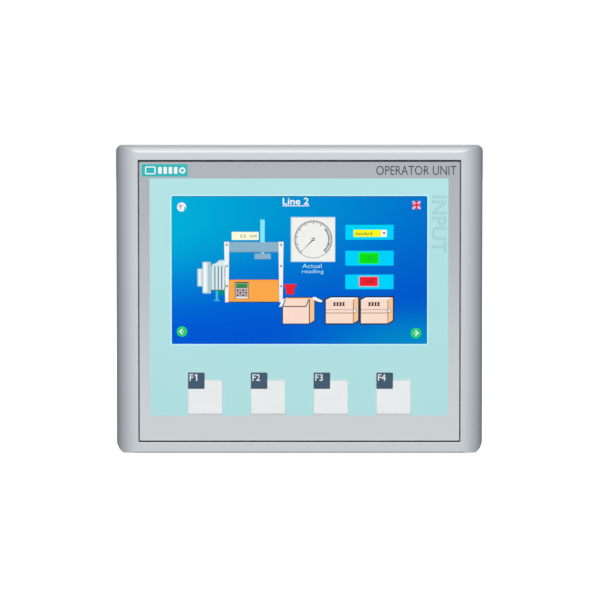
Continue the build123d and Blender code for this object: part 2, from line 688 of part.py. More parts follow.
def make_board_parts():
    """The chips, coils and capacitors."""
    save("processor", board_chip(PROCESSOR))
    spreader_y = BOARD_BACK_Y + PROCESSOR[-1]
    save("heat_spreader", make_heat_spreader(PROCESSOR[0], PROCESSOR[1], spreader_y))
    save("memory_chips", *[board_chip((MEMORY_X, z, *MEMORY)) for z in MEMORY_LEVELS])
    save("network_transformer", board_chip(TRANSFORMER))
    save("capacitors", *[make_capacitor(x, z) for x, z in CAN_PLACES])
    x, z, width, height, thickness = INDUCTOR
    front = BOARD_Y - thickness
    coil = panel_plate(width, height, front, BOARD_Y, HOUSING_WALL, x, z)
    coil -= rod_y(INDUCTOR_WELL_RADIUS, front, front + INDUCTOR_WELL_DEPTH, x, z)
    save("power_inductor", coil)


def make_contact(x):
    """One bent spring wire of the network jack."""
    root, peak, end = CONTACT_LEVELS
    path = Polyline((x, CONTACT_ROOT_Y, root), (x, CONTACT_PEAK_Y, peak), (x, CONTACT_ROOT_Y, end))
    section = Plane(path @ 0, z_dir=path % 0) * Circle(CONTACT_RADIUS)
    return sweep(section, path=path, transition=Transition.RIGHT)


def make_jack():
    """The network jack: a screening shell, a moulded insert and eight spring contacts."""
    x0 = JACK_X - JACK_WIDTH / 2
    x1 = JACK_X + JACK_WIDTH / 2
    y1 = BOARD_BACK_Y + JACK_HEIGHT
    z0 = NICHE_CEILING
    z1 = z0 + JACK_DEPTH
    sheet = JACK_SHEET
    shell = block(x0, x1, BOARD_BACK_Y, y1, z0, z1)
    shell -= block(x0 + sheet, x1 - sheet, BOARD_BACK_Y, y1 - sheet, z0, z1 - sheet)
    save("rj45_shell", shell)
    insert = block(x0 + sheet, x1 - sheet, BOARD_BACK_Y, y1 - sheet, z0 + 2 * LAYER_GAP, z1 - sheet)
    half = JACK_CAVITY_WIDTH / 2
    mouth_back = JACK_MOUTH_BACK
    insert -= block(JACK_X - half, JACK_X + half, JACK_MOUTH_FRONT, mouth_back, z0, JACK_MOUTH_END)
    for half, step_back, step_end in LATCH_STEPS:
        insert -= block(JACK_X - half, JACK_X + half, mouth_back, step_back, z0, step_end)
        mouth_back = step_back
    save("rj45_insert", insert)
    middle = (CONTACT_COUNT - 1) / 2
    xs = [JACK_X + (index - middle) * CONTACT_PITCH for index in range(CONTACT_COUNT)]
    save("rj45_contacts", *[make_contact(x) for x in xs])


def pole_x(index):
    """The middle of one pole of the power connector."""
    return POWER_X + (index - 0.5) * POWER_PITCH


def about_pole(x, half_width, y0, y1, z0, z1):
    """A box centred on one place along X."""
    return block(x - half_width, x + half_width, y0, y1, z0, z1)


def make_power_header():
    """The moulded header on the board, and its two bent pins."""
    y1 = BOARD_BACK_Y + HEADER_DEPTH
    depth = HEADER_CAVITY_HALF_DEPTH
    width = HEADER_CAVITY_HALF_WIDTH
    header = about_pole(POWER_X, HEADER_WIDTH / 2, BOARD_BACK_Y, y1, NICHE_CEILING, HEADER_TOP)
    header -= about_pole(POWER_X, width, POWER_Y - depth, POWER_Y + depth, NICHE_CEILING, HEADER_FLOOR)
    pins = []
    for x in (pole_x(0), pole_x(1)):
        pin = rod_z(PIN_RADIUS, PIN_TIP, PIN_TOP, x, POWER_Y)
        pin += about_pole(x, PIN_RADIUS, BOARD_BACK_Y, POWER_Y + PIN_RADIUS, PIN_FOOT_BOTTOM, PIN_TOP)
        pins.append(pin)
        header -= rod_z(PIN_RADIUS, HEADER_FLOOR, HEADER_TOP, x, POWER_Y)
    save("power_header", header)
    save("header_pins", *pins)


def make_power_plug():
    """The moulded plug: pin holes above, and a chamber with two bores for each wire clamp."""
    nose = PLUG_NOSE_HALF_DEPTH
    slim = PLUG_NOSE_HALF_WIDTH
    deep = PLUG_BODY_DEPTH / 2
    back = POWER_Y + deep
    wide = PLUG_WIDTH / 2
    plug = about_pole(POWER_X, slim, POWER_Y - nose, POWER_Y + nose, PLUG_SHOULDER, PLUG_TOP)
    plug += about_pole(POWER_X, wide, POWER_Y - deep, back, PLUG_BOTTOM, PLUG_SHOULDER)
    bottom = CLAMP_LEVEL - CHAMBER_HALF_HEIGHT
    top = CLAMP_LEVEL + CHAMBER_HALF_HEIGHT
    for x in (pole_x(0), pole_x(1)):
        plug -= rod_z(PIN_HOLE_RADIUS, PIN_HOLE_END, PLUG_TOP, x, POWER_Y)
        plug -= about_pole(x, CHAMBER_HALF_WIDTH, CHAMBER_FRONT, CHAMBER_BACK, bottom, top)
        plug -= rod_z(WIRE_RADIUS, PLUG_BOTTOM, bottom, x, WIRE_Y)
        plug -= rod_y(TERMINAL_BORE, CHAMBER_BACK, TERMINAL_SEAT_Y, x, CLAMP_LEVEL)
        plug -= rod_y(TERMINAL_WELL, TERMINAL_SEAT_Y, back, x, CLAMP_LEVEL)
    return plug


def make_terminal_screw(x):
    """The slotted screw of one wire clamp."""
    head_front = TERMINAL_SEAT_Y + RUNNING
    slot = SLOT_WIDTH / 2
    screw = rod_y(TERMINAL_SHANK, TERMINAL_TIP_Y, head_front, x, CLAMP_LEVEL)
    screw += rod_y(TERMINAL_HEAD_RADIUS, head_front, TERMINAL_HEAD_BACK, x, CLAMP_LEVEL)
    bottom = CLAMP_LEVEL - slot
    top = CLAMP_LEVEL + slot
    screw -= about_pole(x, TERMINAL_WELL, TERMINAL_SLOT_FLOOR, TERMINAL_HEAD_BACK, bottom, top)
    return screw


def make_wire_cage(x):
    """The square cage that one terminal screw draws up against the wire."""
    bottom = CLAMP_LEVEL - CAGE_HALF_HEIGHT
    top = CLAMP_LEVEL + CAGE_HALF_HEIGHT
    wall = CAGE_WALL
    cage = about_pole(x, CAGE_HALF_WIDTH, CAGE_FRONT, CAGE_BACK, bottom, top)
    cage -= about_pole(x, CAGE_HALF_WIDTH - wall, CAGE_FRONT + wall, CAGE_BACK - wall, bottom, top)
    return cage - rod_y(TERMINAL_SHANK + RUNNING, CAGE_BACK - wall, CAGE_BACK, x, CLAMP_LEVEL)


def make_power():
    """The power header on the board, and the plug with its two wire clamps."""
    make_power_header()
    save("power_plug", make_power_plug())
    for index in range(2):
        save(f"plug_screw_{index + 1}", make_terminal_screw(pole_x(index)))
        save(f"wire_cage_{index + 1}", make_wire_cage(pole_x(index)))


def make_earth_blade():
    """The flat blade for the earth conductor."""
    back = BLADE_FRONT + BLADE_THICKNESS
    blade = about_pole(0, BLADE_HALF_WIDTH, BLADE_FRONT, back, BLADE_TIP, BLADE_ROOT)
    blade = chamfer(blade.edges().filter_by(Axis.Y).sort_by(Axis.Z)[:2], BLADE_TIP_CHAMFER)
    blade -= rod_y(BLADE_HOLE_RADIUS, BLADE_FRONT, back, 0, BLADE_HOLE_Z)
    foot_bottom = BLADE_ROOT - BLADE_THICKNESS
    return blade + about_pole(0, BLADE_HALF_WIDTH, BOARD_BACK_Y, BLADE_FRONT, foot_bottom, BLADE_ROOT)


# ---- Rear housing and its fasteners --------------------------------------------------
def housing_niche(shell):
    """Cut the connector niche into the lower back of the housing, with its inner walls."""
    bottom = -HOUSING_HEIGHT / 2
    wall = HOUSING_WALL
    outer = NICHE_HALF_WIDTH + wall
    shell += block(-outer, outer, NICHE_Y - wall, NICHE_WALL_BACK, bottom + 1, NICHE_CEILING + wall)
    side = NICHE_HALF_WIDTH
    return shell - block(-side, side, NICHE_Y, HOUSING_DEPTH + 1, bottom - 1, NICHE_CEILING)


def housing_posts(shell):
    """Add the four screw posts in the corners, with their bores and head wells."""
    inner_back = HOUSING_DEPTH - HOUSING_WALL
    room_width = INNER_WIDTH + HOUSING_WALL
    room_height = INNER_HEIGHT + HOUSING_WALL
    room = panel_plate(room_width, room_height, 0, inner_back)
    well_y = HOUSING_DEPTH - HEAD_HEIGHT - HEAD_SINK
    for x, z in corners(POST_X, (-POST_Z, POST_Z)):
        post = rod_y(POST_RADIUS, 0, inner_back, x, z)
        post += rod_y(POST_FOOT_RADIUS, POST_FOOT_Y, inner_back, x, z)
        shell += post & room
        shell -= rod_y(M3_RADIUS + M3_CLEARANCE, 0, HOUSING_DEPTH, x, z)
        shell -= rod_y(HEAD_RADIUS + HEAD_SINK, well_y, HOUSING_DEPTH, x, z)
    return shell


def housing_doors(shell):
    """Cut the doors in the niche's ceiling for the jack, the power header and the blade."""
    ceiling = NICHE_CEILING
    half = JACK_WIDTH / 2 + DOOR_GAP
    back = BOARD_BACK_Y + JACK_HEIGHT + DOOR_GAP
    shell -= about_pole(JACK_X, half, DOOR_FRONT_Y, back, ceiling, DOOR_TOP)
    half = HEADER_WIDTH / 2 + DOOR_GAP
    back = BOARD_BACK_Y + HEADER_DEPTH + DOOR_GAP
    shell -= about_pole(POWER_X, half, DOOR_FRONT_Y, back, ceiling, DOOR_TOP)
    front = BLADE_FRONT - BLADE_SLOT_GAP
    back = BLADE_FRONT + BLADE_THICKNESS + BLADE_SLOT_GAP
    return shell - about_pole(0, BLADE_SLOT_HALF_WIDTH, front, back, ceiling, DOOR_TOP)


def housing_vents(shell):
    """Cut the vents in the top, back and bottom walls."""
    top = HOUSING_HEIGHT / 2
    wall = HOUSING_WALL
    half = VENT_WIDTH / 2
    y0, y1 = TOP_VENT_SPAN
    z0, z1 = REAR_VENT_SPAN
    for step in range(-TOP_VENTS_EACH_SIDE, TOP_VENTS_EACH_SIDE + 1):
        x = step * VENT_PITCH
        shell -= about_pole(x, half, y0, y1, top - wall, top)
        shell -= about_pole(x, half, HOUSING_DEPTH - wall, HOUSING_DEPTH, z0, z1)
    y0, y1 = BOTTOM_VENT_SPAN
    for step in range(-BOTTOM_VENTS_EACH_SIDE, BOTTOM_VENTS_EACH_SIDE + 1):
        shell -= about_pole(step * VENT_PITCH, half, y0, y1, -top, wall - top)
    return shell


def housing_grip(shell):
    """Cut the grip grooves in the two sides, and the slots for the clips' hooks."""
    for side in (-1, 1):
        for y in GROOVE_STARTS:
            face = side * HOUSING_WIDTH / 2
            shell -= about_pole(face, GROOVE_DEPTH, y, y + GROOVE_WIDTH, GROOVE_BOTTOM, GROOVE_TOP)
    top = HOUSING_HEIGHT / 2
    for x, up in corners(CLIP_X, (-1, 1)):
        z0, z1 = sorted((up * top, up * (top - HOUSING_WALL)))
        for offset in (-HOOK_X, HOOK_X):
            middle = x + offset
            shell -= about_pole(middle, HOOK_SLOT_HALF_WIDTH, HOOK_SLOT_FRONT, HOOK_SLOT_BACK, z0, z1)
    return shell


def make_housing():
    """The plastic box behind the cabinet wall, with a niche for the connectors."""
    outer = panel_plate(HOUSING_WIDTH, HOUSING_HEIGHT, -RIM_DEPTH, HOUSING_DEPTH, HOUSING_RADIUS)
    outer = fillet(outer.faces().sort_by(Axis.Y)[-1].edges(), HOUSING_EDGE_RADIUS)
    inner_back = HOUSING_DEPTH - HOUSING_WALL
    shell = outer - panel_plate(INNER_WIDTH, INNER_HEIGHT, -RIM_DEPTH, inner_back, 1.0)
    shell = housing_niche(shell)
    shell = housing_posts(shell)
    shell = housing_doors(shell)
    shell = housing_vents(shell)
    shell = housing_grip(shell)
    plate_y = HOUSING_DEPTH - PLATE_RECESS
    return shell - panel_plate(PLATE_WIDTH, PLATE_HEIGHT, plate_y, HOUSING_DEPTH, 1.0, PLATE_X, PLATE_Z)


def make_rating_plate():
    """The blank plate in the shallow recess on the back."""
    width = PLATE_WIDTH - 2 * PLATE_FIT
    height = PLATE_HEIGHT - 2 * PLATE_FIT
    y0 = HOUSING_DEPTH - PLATE_RECESS
    return panel_plate(width, height, y0, y0 + PLATE_THICKNESS, FLANGE_RADIUS, PLATE_X, PLATE_Z)


def gasket_band(y0, y1, inset):
    """A ring with the gasket's outline, drawn in by the same amount on both sides."""
    width = GASKET_INNER_WIDTH + 2 * GASKET_BAND - 2 * inset
    height = GASKET_INNER_HEIGHT + 2 * GASKET_BAND - 2 * inset
    ring = panel_plate(width, height, y0, y1, GASKET_OUTER_RADIUS - inset)
    width = GASKET_INNER_WIDTH + 2 * inset
    height = GASKET_INNER_HEIGHT + 2 * inset
    return ring - panel_plate(width, height, y0, y1, GASKET_INNER_RADIUS + inset)


def make_gasket():
    """The sealing ring in the back of the bezel, at its clamped height."""
    base = gasket_band(GASKET_FIT - GASKET_DEPTH, -GASKET_LIP_HEIGHT, GASKET_FIT)
    return base + gasket_band(-GASKET_LIP_HEIGHT, 0, GASKET_LIP_INSET)


def make_housing_screws():
    """Four long screws through the housing into the bezel."""
    seat = HOUSING_DEPTH - HEAD_HEIGHT - HEAD_SINK
    head_back = seat + HEAD_HEIGHT
    screws = []
    for x, z in corners(POST_X, (-POST_Z, POST_Z)):
        screw = rod_y(M3_RADIUS, THREAD_END_Y, seat, x, z)
        screw += rod_y(HEAD_RADIUS, seat, head_back, x, z)
        socket = Pos(x, z) * RegularPolygon(HEX_SOCKET_RADIUS, 6)
        screw -= extrude(Plane.XZ.offset(-head_back) * socket, amount=HEX_SOCKET_DEPTH)
        screws.append(screw)
    return screws


def make_clip(x, up):
    """A clip hooked into the housing, which carries one clamping screw. up is 1 or -1."""
    half = CLIP_HALF_WIDTH
    clip = block(-half, half, CLIP_FRONT_Y, CLIP_BACK_Y, CLIP_FOOT_Z, CLIP_TOP_Z)
    clip = fillet(clip.edges().filter_by(Axis.Y).sort_by(Axis.Z)[-2:], CLIP_EDGE_RADIUS)
    hook = HOOK_HALF_WIDTH
    for offset in (-HOOK_X, HOOK_X):
        clip += about_pole(offset, hook, HOOK_FRONT, HOOK_NECK_BACK, HOOK_NECK_BOTTOM, CLIP_FOOT_Z)
        clip += about_pole(offset, hook, HOOK_FRONT, HOOK_TIP_BACK, HOOK_BOTTOM, HOOK_TIP_TOP)
    clip -= rod_y(M3_RADIUS + RUNNING, CLIP_FRONT_Y, CLIP_BACK_Y, 0, CLAMP_AXIS_Z)
    y0, y1 = CLIP_GROOVE
    for edge in (-half, half):
        clip -= about_pole(edge, CLIP_GROOVE_DEPTH, y0, y1, CLIP_FOOT_Z, CLIP_TOP_Z)
    if up < 0:
        clip = mirror(clip, about=Plane.XY)
    return Pos(x, 0, 0) * clip


def make_clamp_pad(x, up):
    """The round foot that presses on the back of the cabinet wall."""
    z = up * CLAMP_AXIS_Z
    pad = rod_y(PAD_RADIUS, PAD_FRONT_Y, PAD_BACK_Y, x, z)
    pad = chamfer(pad.edges().sort_by(Axis.Y)[-1:], PAD_CHAMFER)
    return pad - rod_y(M3_RADIUS + RUNNING, SOCKET_Y, PAD_BACK_Y, x, z)


def make_clamp_screw(x, up):
    """The clamping screw of one clip, with a slotted head at the back."""
    z = up * CLAMP_AXIS_Z
    head_back = CLAMP_HEAD_Y + CLAMP_HEAD_HEIGHT
    slot_y = head_back - CLAMP_SLOT_DEPTH
    slot = SLOT_WIDTH / 2
    screw = rod_y(M3_RADIUS, SOCKET_Y + TIP_GAP, CLAMP_HEAD_Y, x, z)
    screw += rod_y(CLAMP_HEAD_RADIUS, CLAMP_HEAD_Y, head_back, x, z)
    return screw - about_pole(x, CLAMP_HEAD_RADIUS, slot_y, head_back, z - slot, z + slot)


def main():
    """Write every node."""
    os.makedirs("parts", exist_ok=True)
    save("front_bezel", make_bezel())
    save("overlay_foil", make_foil())
    window_width = WINDOW_WIDTH - 2 * WINDOW_GAP
    window_height = WINDOW_HEIGHT - 2 * WINDOW_GAP
    corner = WINDOW_RADIUS - WINDOW_GAP
    window = panel_plate(window_width, window_height, FOIL_Y, FLOOR_Y, corner, 0, WINDOW_Z)
    save("display_window", window)
    for index in range(KEY_COUNT):
        save(f"function_key_{index + 1}", make_key(key_x(index)))
        save(f"key_tile_{index + 1}", make_tile(key_x(index)))
    save("key_mat", make_key_mat())
    save("key_board", make_key_board())
    make_display_stack()
    save("display_bracket", make_bracket())
    bracket_back = BRACKET_Y + BRACKET_SHEET
    ears = corners(EAR_X, EAR_LEVELS)
    save("bracket_screws", *make_small_screws(ears, THREAD_END_Y, bracket_back))
    make_ribbons()
    save("main_board", make_main_board())
    standoffs = corners(STANDOFF_X, STANDOFF_LEVELS)
    save("board_screws", *make_small_screws(standoffs, BOARD_Y - STANDOFF_THREAD, BOARD_BACK_Y))
    make_board_parts()
    make_jack()
    make_power()
    save("earth_blade", make_earth_blade())
    save("rear_housing", make_housing())
    save("panel_gasket", make_gasket())
    save("rating_plate", make_rating_plate())
    save("housing_screws", *make_housing_screws())
    places = [(-CLIP_X, 1), (CLIP_X, 1), (-CLIP_X, -1), (CLIP_X, -1)]
    for number, (x, up) in enumerate(places, start=1):
        save(f"mounting_clip_{number}", make_clip(x, up))
        save(f"clamp_pad_{number}", make_clamp_pad(x, up))
        save(f"clamp_screw_{number}", make_clamp_screw(x, up))


main()
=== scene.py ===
"""Looks of the operator panel: finishes, prints, the picture on its display, the light and the camera."""

import json
import logging
import math
from dataclasses import dataclass
from enum import Enum

import bpy
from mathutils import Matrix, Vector
from mathutils.geometry import tessellate_polygon


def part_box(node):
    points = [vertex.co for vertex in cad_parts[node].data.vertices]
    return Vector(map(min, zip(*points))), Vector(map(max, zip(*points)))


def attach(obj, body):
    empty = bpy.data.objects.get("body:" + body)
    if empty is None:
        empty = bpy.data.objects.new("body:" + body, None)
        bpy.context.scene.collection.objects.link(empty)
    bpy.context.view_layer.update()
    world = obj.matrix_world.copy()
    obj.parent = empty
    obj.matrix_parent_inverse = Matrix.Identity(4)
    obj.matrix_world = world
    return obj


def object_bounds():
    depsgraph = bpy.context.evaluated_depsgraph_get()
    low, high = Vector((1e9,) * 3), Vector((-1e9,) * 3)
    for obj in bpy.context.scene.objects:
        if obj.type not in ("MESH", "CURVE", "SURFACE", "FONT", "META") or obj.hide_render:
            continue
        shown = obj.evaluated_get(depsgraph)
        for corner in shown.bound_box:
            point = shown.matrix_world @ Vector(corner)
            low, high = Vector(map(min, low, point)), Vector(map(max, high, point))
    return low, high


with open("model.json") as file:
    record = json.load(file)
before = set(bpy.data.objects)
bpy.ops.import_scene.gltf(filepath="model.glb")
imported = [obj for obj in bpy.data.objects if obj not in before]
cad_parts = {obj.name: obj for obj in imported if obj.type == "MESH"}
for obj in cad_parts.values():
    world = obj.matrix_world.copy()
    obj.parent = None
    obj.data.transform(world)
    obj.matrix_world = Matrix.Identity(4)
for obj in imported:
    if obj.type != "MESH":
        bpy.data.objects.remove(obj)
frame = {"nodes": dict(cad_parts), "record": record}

CAD_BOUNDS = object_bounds()
MM = 0.001
SCREEN_GAMMA = 2.2

Triple = tuple[float, float, float]
Colour = Triple
Point = tuple[float, float]
Area = tuple[float, float, float, float]
Material = bpy.types.Material
Inks = dict[str, Material]

log = logging.getLogger("panel")


def tint(colour: Colour) -> Colour:
    """Turn a colour as a screen shows it into linear light.

    Args:
        colour: red, green and blue, 0 to 255.

    Returns:
        The same colour in linear light, 0 to 1.
    """

    def linear(value: float) -> float:
        """Undo the screen's tone curve for one channel."""
        share = value / 255
        return share / 12.92 if share <= 0.04045 else ((share + 0.055) / 1.055) ** 2.4

    red, green, blue = colour
    return linear(red), linear(green), linear(blue)


# ---------------------------------------------------------------- shader maths


class Sock:
    """An output socket of a material, which takes part in arithmetic."""

    def __init__(self, graph: "Graph", link: bpy.types.NodeSocket) -> None:
        """Keep the socket and the graph that it belongs to.

        Args:
            graph: the material's graph.
            link: the output socket.
        """
        self.graph = graph
        self.link = link

    def _math(self, operation: str, first: "Sock | float", second: "Sock | float" = 0.0) -> "Sock":
        """Add one Math node.

        Args:
            operation: the node's operation.
            first: its first value.
            second: its second value.

        Returns:
            The node's result.
        """
        node = self.graph.make("ShaderNodeMath", {"operation": operation}, {0: first, 1: second})
        return self.graph.out(node)

    def __add__(self, other: "Sock | float") -> "Sock":
        """This value plus the other."""
        return self._math("ADD", self, other)

    def __radd__(self, other: float) -> "Sock":
        """The number plus this value."""
        return self._math("ADD", other, self)

    def __sub__(self, other: "Sock | float") -> "Sock":
        """This value minus the other."""
        return self._math("SUBTRACT", self, other)

    def __rsub__(self, other: float) -> "Sock":
        """The number minus this value."""
        return self._math("SUBTRACT", other, self)

    def __mul__(self, other: "Sock | float") -> "Sock":
        """This value times the other."""
        return self._math("MULTIPLY", self, other)

    def __rmul__(self, other: float) -> "Sock":
        """The number times this value."""
        return self._math("MULTIPLY", other, self)

    def __truediv__(self, other: "Sock | float") -> "Sock":
        """This value divided by the other."""
        return self._math("DIVIDE", self, other)

    def __pow__(self, other: float) -> "Sock":
        """This value raised to a power."""
        return self._math("POWER", self, other)

    def size(self) -> "Sock":
        """The value without its sign."""
        return self._math("ABSOLUTE", self)

    def fraction(self) -> "Sock":
        """What is left of the value after its whole part."""
        return self._math("FRACT", self)

    def above(self, limit: float) -> "Sock":
        """One where the value is greater than the limit, and zero elsewhere."""
        return self._math("GREATER_THAN", self, limit)

    def rise(self, low: "Sock | float", high: "Sock | float", shape: str = "LINEAR") -> "Sock":
        """Rise from zero to one between two limits.

        Args:
            low: where the rise starts.
            high: where it ends.
            shape: the node's way of rising.

        Returns:
            The rise, 0 to 1.
        """
        inputs = {"Value": self, "From Min": low, "From Max": high}
        node = self.graph.make("ShaderNodeMapRange", {"interpolation_type": shape}, inputs)
        return self.graph.out(node)

    def smooth(self, low: "Sock | float", high: "Sock | float") -> "Sock":
        """Rise from zero to one between two limits, with soft ends."""
        return self.rise(low, high, "SMOOTHSTEP")


class Graph:
    """The node tree of one material."""

    def __init__(self, name: str) -> None:
        """Make an empty material.

        Args:
            name: the material's name.
        """
        self.material = bpy.data.materials.new(name)
        self.material.use_nodes = True
        self.tree = self.material.node_tree
        self.tree.nodes.clear()
        self.place = self.out(self.make("ShaderNodeTexCoord"), "Object")

    def make(self, kind: str, settings: dict | None = None, inputs: dict | None = None) -> bpy.types.Node:
        """Add a node: its settings first, then the values or links of its sockets.

        Args:
            kind: the node's type.
            settings: the node's own properties.
            inputs: a number, colour or Sock for each input, by name or place.

        Returns:
            The node.
        """
        node = self.tree.nodes.new(kind)
        for key, value in (settings or {}).items():
            setattr(node, key, value)
        for key, value in (inputs or {}).items():
            if isinstance(value, Sock):
                self.tree.links.new(value.link, node.inputs[key])
            else:
                node.inputs[key].default_value = value
        return node

    def out(self, node: bpy.types.Node, key: int | str = 0) -> Sock:
        """Wrap one output of a node."""
        return Sock(self, node.outputs[key])

    def axis(self, letter: str) -> Sock:
        """Give the place along one axis, in millimetres."""
        node = self.make("ShaderNodeSeparateXYZ", {}, {"Vector": self.place})
        return self.out(node, letter) * (1 / MM)

    def noise(self, size: float, detail: float = 2.0, stretch: Colour = (1.0, 1.0, 1.0)) -> Sock:
        """Add a cloudy pattern.

        Args:
            size: the size of its patches, in millimetres.
            detail: how many finer layers it has.
            stretch: how much denser it is along each axis.

        Returns:
            The pattern, about 0.3 to 0.7.
        """
        scaled = self.make("ShaderNodeVectorMath", {"operation": "MULTIPLY"}, {0: self.place, 1: stretch})
        inputs = {"Vector": self.out(scaled), "Scale": 1 / (size * MM), "Detail": detail}
        return self.out(self.make("ShaderNodeTexNoise", {}, inputs))

    def blend(self, share: Sock, first: "Sock | Colour", second: "Sock | Colour") -> Sock:
        """Mix two colours.

        Args:
            share: how much of the second colour there is.
            first: the first colour.
            second: the second colour.

        Returns:
            The mixed colour.
        """
        colours = [value if isinstance(value, Sock) else (*value, 1.0) for value in (first, second)]
        node = self.make("ShaderNodeMix", {"data_type": "RGBA"}, {0: share, 6: colours[0], 7: colours[1]})
        return self.out(node, 2)

    def bump(self, height: Sock, depth: float) -> Sock:
        """Turn a pattern into surface relief.

        Args:
            height: the pattern.
            depth: its depth, in millimetres.

        Returns:
            The surface normal.
        """
        inputs = {"Strength": 1.0, "Distance": depth * MM, "Height": height}
        return self.out(self.make("ShaderNodeBump", {}, inputs))

    def close(self, shader: bpy.types.Node) -> Material:
        """Join a shader to the material's output and give the material."""
        self.make("ShaderNodeOutputMaterial", {}, {"Surface": self.out(shader)})
        return self.material


# ---------------------------------------------------------------- finishes


@dataclass(frozen=True)
class Surface:
    """A solid finish: plastic, rubber, print, paint or metal.

    Attributes:
        name: the material's name.
        colour: its main colour.
        second: the colour that it drifts towards in patches.
        drift: the size of those patches, in millimetres.
        grain: the size of the surface grain, in millimetres.
        depth: the depth of that grain, in millimetres.
        rough: the least and the greatest roughness.
        metallic: one for bare metal.
        coat: how much clear lacquer lies over it.
        sheen: how much light the surface throws back straight, against 0.5 for plain plastic.
        stretch: how much denser the grain is along each axis, as on brushed metal.
    """

    name: str
    colour: Colour
    second: Colour
    drift: float = 20.0
    grain: float = 0.5
    depth: float = 0.01
    rough: tuple[float, float] = (0.4, 0.5)
    metallic: float = 0.0
    coat: float = 0.0
    sheen: float = 0.5
    stretch: Colour = (1.0, 1.0, 1.0)

    def make(self) -> Material:
        """Build the material."""
        graph = Graph(self.name)
        grain = graph.noise(self.grain, 3.0, self.stretch)
        share = (graph.noise(self.drift, 3.0) * 0.7 + grain * 0.3).smooth(0.35, 0.65)
        low, high = self.rough
        inputs = {
            "Base Color": graph.blend(share, tint(self.colour), tint(self.second)),
            "Roughness": low + (high - low) * grain.smooth(0.3, 0.7),
            "Normal": graph.bump(grain, self.depth),
            "Metallic": self.metallic,
            "Coat Weight": self.coat,
            "Coat Roughness": 0.12,
            "Specular IOR Level": self.sheen,
        }
        return graph.close(graph.make("ShaderNodeBsdfPrincipled", {}, inputs))


@dataclass(frozen=True)
class PaintedSideShadePlastic:
    """Moulded silver grey plastic with painted shade: its colour runs darker and cooler where the sides
    roll back.

    Attributes:
        name: the material's name.
        front: its colour on the flat front.
        side: the painted shade colour at the outer sides.
        node: the part whose width sets where the sides are.
        reach: how far in from the side the painted shade goes, in millimetres.
        edge: how far in the full painted shade reaches, in millimetres.
        curve: how late the change comes; one is an even change.
    """

    name: str
    front: Colour
    side: Colour
    node: str
    reach: float = 9.0
    edge: float = 0.3
    curve: float = 1.5

    def make(self) -> Material:
        """Build the material."""
        graph = Graph(self.name)
        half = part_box(self.node)[1].x / MM
        texture = graph.noise(0.3, 3.0)
        cloud = graph.noise(40.0, 2.0)
        # painted shade: the colour darkens towards the outer sides, where the sides roll back
        painted_side_shade = graph.axis("X").size().rise(half - self.reach, half - self.edge)
        share = painted_side_shade ** self.curve + cloud * 0.06 - 0.03
        inputs = {
            "Base Color": graph.blend(share.rise(0.0, 1.0), tint(self.front), tint(self.side)),
            "Roughness": 0.36 + texture * 0.1,
            "Normal": graph.bump(texture, 0.004),
        }
        return graph.close(graph.make("ShaderNodeBsdfPrincipled", {}, inputs))


@dataclass(frozen=True)
class PaintedShadeFoil:
    """Grey print on embossed polyester with painted shade: darker towards its upper edge, paler towards its
    lower edge.

    Attributes:
        name: the material's name.
        top: its colour at the upper edge, darkened as painted shade.
        bottom: its colour at the lower edge.
        node: the part whose height the change of colour spans.
    """

    name: str
    top: Colour
    bottom: Colour
    node: str

    def make(self) -> Material:
        """Build the material."""
        graph = Graph(self.name)
        low, high = (corner.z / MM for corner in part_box(self.node))
        emboss = graph.noise(0.35, 2.0)
        cloud = graph.noise(18.0, 2.0)
        # painted shade: the foil runs from the darker top colour to the paler bottom colour
        share = (graph.axis("Z") + cloud * 6.0 - 3.0).smooth(low, high)
        inputs = {
            "Base Color": graph.blend(share, tint(self.bottom), tint(self.top)),
            "Roughness": 0.42 + emboss * 0.16,
            "Normal": graph.bump(emboss, 0.006),
        }
        return graph.close(graph.make("ShaderNodeBsdfPrincipled", {}, inputs))


@dataclass(frozen=True)
class Lacquer:
    """A circuit board under its solder mask, with fine tracks showing through.

    Attributes:
        name: the material's name.
        mask: the colour of the lacquer over bare board.
        track: its colour over copper.
        pitch: the spacing of the tracks, in millimetres.
        gap: the bare share of that spacing.
    """

    name: str
    mask: Colour
    track: Colour
    pitch: float = 1.3
    gap: float = 0.62

    def make(self) -> Material:
        """Build the material."""
        graph = Graph(self.name)
        regions = graph.noise(11.0, 1.0).above(0.5)
        along_x = (graph.axis("Z") * (1 / self.pitch)).fraction().above(self.gap)
        along_z = (graph.axis("X") * (1 / self.pitch)).fraction().above(self.gap)
        tracks = along_x * regions + along_z * (1 - regions)
        inputs = {
            "Base Color": graph.blend(tracks, tint(self.mask), tint(self.track)),
            "Roughness": 0.22 + graph.noise(3.0) * 0.12,
            "Normal": graph.bump(tracks, 0.02),
        }
        return graph.close(graph.make("ShaderNodeBsdfPrincipled", {}, inputs))


NO_LIGHT = (0.0, 0.0, 0.0)


